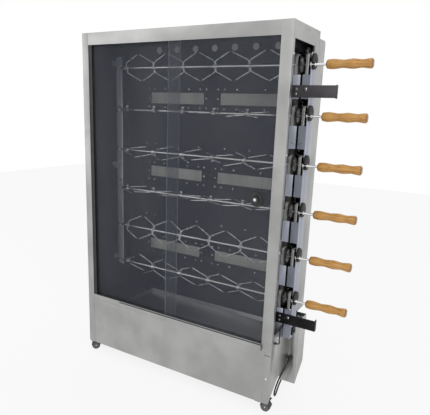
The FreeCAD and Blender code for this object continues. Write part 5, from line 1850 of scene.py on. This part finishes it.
def makeArms(look):
    # the upper arm takes the lighter grey copy as painted light; faces past the end plate keep the black
    pieces = [bevelled("guard_arms", "upperArm", "armUpperPaintedLight", look["edge"],
                       wanted=lambda lowest, highest: highest.z > look["between"]),
              bevelled("guard_arms", "lowerArm", "arm", look["edge"],
                       wanted=lambda lowest, highest: highest.z < look["between"])]
    plate = casingRight + look["plateX"] * mm
    mesh = pieces[0].data
    mesh.materials.append(finishes["arm"])
    for face in mesh.polygons:
        if face.center.x > plate:
            face.material_index = 1
    assembled("guardArms", pieces, "guard_arms")


makeArms(armLook)
print("arms ready")


# Small marks on the casing

trimLook = {
    "seamY": 82.0,
    "seamWidth": 0.9,
    "seamRise": (132, 372),
}


def makeTrim(look):  # the joint line on the side sheet below the opening
    def seam(shape):
        start, end = look["seamRise"]
        low = sideSpot(0, look["seamY"], start)
        high = sideSpot(0, look["seamY"] + look["seamWidth"], end)
        brick(shape, low - alongX * 0.5 * mm, high + alongX * 0.12 * mm)
    placed(filled("sideSeam", seam, "slit"), "casing")


makeTrim(trimLook)


# Floor, soft light and plain surroundings

stageLook = {
    "floorSize": 14,
    "floorTone": (0.80, 0.80, 0.80),
    "floorPatch": (0.83, 0.83, 0.83),
    "whiteTone": (1.0, 1.0, 1.0),
    "floorWhite": 0.86,
    "skyLow": (0.62, 0.63, 0.65),
    "skyHigh": (0.98, 0.99, 1.0),
    "skyReach": (-0.3, 0.8),
    "strength": 0.72,
}

lampLook = {
    "key": {"place": (2.6, -3.4, 3.6), "aim": (0.1, 0.0, 0.9), "size": (4.6, 4.6), "power": 66},
    "fill": {"place": (-3.8, -2.8, 2.2), "aim": (0.0, 0.0, 0.8), "size": (3.8, 3.4), "power": 26},
}


def seenRays(tree):  # 1 where the picture, a reflection or a glass shows the surroundings
    ray = addNode(tree, "ShaderNodeLightPath")
    total = ray.outputs["Is Camera Ray"]
    for kind in ("Is Glossy Ray", "Is Transmission Ray"):
        total = addNode(tree, "ShaderNodeMath", {"operation": "MAXIMUM"},
                        {0: total, 1: ray.outputs[kind]}).outputs[0]
    return total


def makeFloor(look):
    bpy.ops.mesh.primitive_plane_add(size=look["floorSize"], location=(0, 0, 0))
    floor = bpy.context.object
    floor.name = "floor"
    recipe = Recipe("paleFloor")
    tone = recipe.blend(recipe.clouds(0.6, 2.0), look["floorTone"], look["floorPatch"])
    material = recipe.finish(Base_Color=tone, Roughness=0.85)
    tree = material.node_tree
    output = next(node for node in tree.nodes if node.type == "OUTPUT_MATERIAL")
    matt = output.inputs["Surface"].links[0].from_socket
    glow = addNode(tree, "ShaderNodeEmission", None, {"Color": (*look["whiteTone"], 1), "Strength": 1.0})
    share = addNode(tree, "ShaderNodeMath", {"operation": "MULTIPLY"},
                    {0: seenRays(tree), 1: look["floorWhite"]})
    mix = addNode(tree, "ShaderNodeMixShader", None, {0: share.outputs[0], 1: matt, 2: glow.outputs[0]})
    tree.links.new(mix.outputs[0], output.inputs["Surface"])
    floor.data.materials.append(material)


def makeLamps(look):
    for name, lamp in look.items():
        data = bpy.data.lights.new(name, "AREA")
        data.shape = "RECTANGLE"
        data.size, data.size_y = lamp["size"]
        data.energy = lamp["power"]
        light = bpy.data.objects.new(name, data)
        light.location = lamp["place"]
        way = Vector(lamp["aim"]) - Vector(lamp["place"])
        light.rotation_euler = way.to_track_quat("-Z", "Y").to_euler()
        bpy.context.scene.collection.objects.link(light)


def makeWorld(look):
    world = bpy.data.worlds.new("surroundings")
    bpy.context.scene.world = world
    world.use_nodes = True
    tree = world.node_tree
    tree.nodes.clear()
    low, high = look["skyReach"]
    coordinates = addNode(tree, "ShaderNodeTexCoord")
    split = addNode(tree, "ShaderNodeSeparateXYZ", None, {0: coordinates.outputs["Generated"]})
    share = addNode(tree, "ShaderNodeMapRange", None,
                    {"Value": split.outputs["Z"], "From Min": low, "From Max": high})
    sky = addNode(tree, "ShaderNodeMix", {"data_type": "RGBA"},
                  {0: share.outputs["Result"], 6: (*look["skyLow"], 1), 7: (*look["skyHigh"], 1)})
    lit = addNode(tree, "ShaderNodeBackground", None,
                  {"Color": sky.outputs[2], "Strength": look["strength"]})
    seen = addNode(tree, "ShaderNodeBackground", None, {"Color": (*look["whiteTone"], 1)})
    pick = addNode(tree, "ShaderNodeMixShader", None,
                   {0: seenRays(tree), 1: lit.outputs[0], 2: seen.outputs[0]})
    addNode(tree, "ShaderNodeOutputWorld", None, {"Surface": pick.outputs[0]})


makeFloor(stageLook)
makeLamps(lampLook)
makeWorld(stageLook)
bpy.context.scene.view_settings.view_transform = "Standard"
print("stage ready")
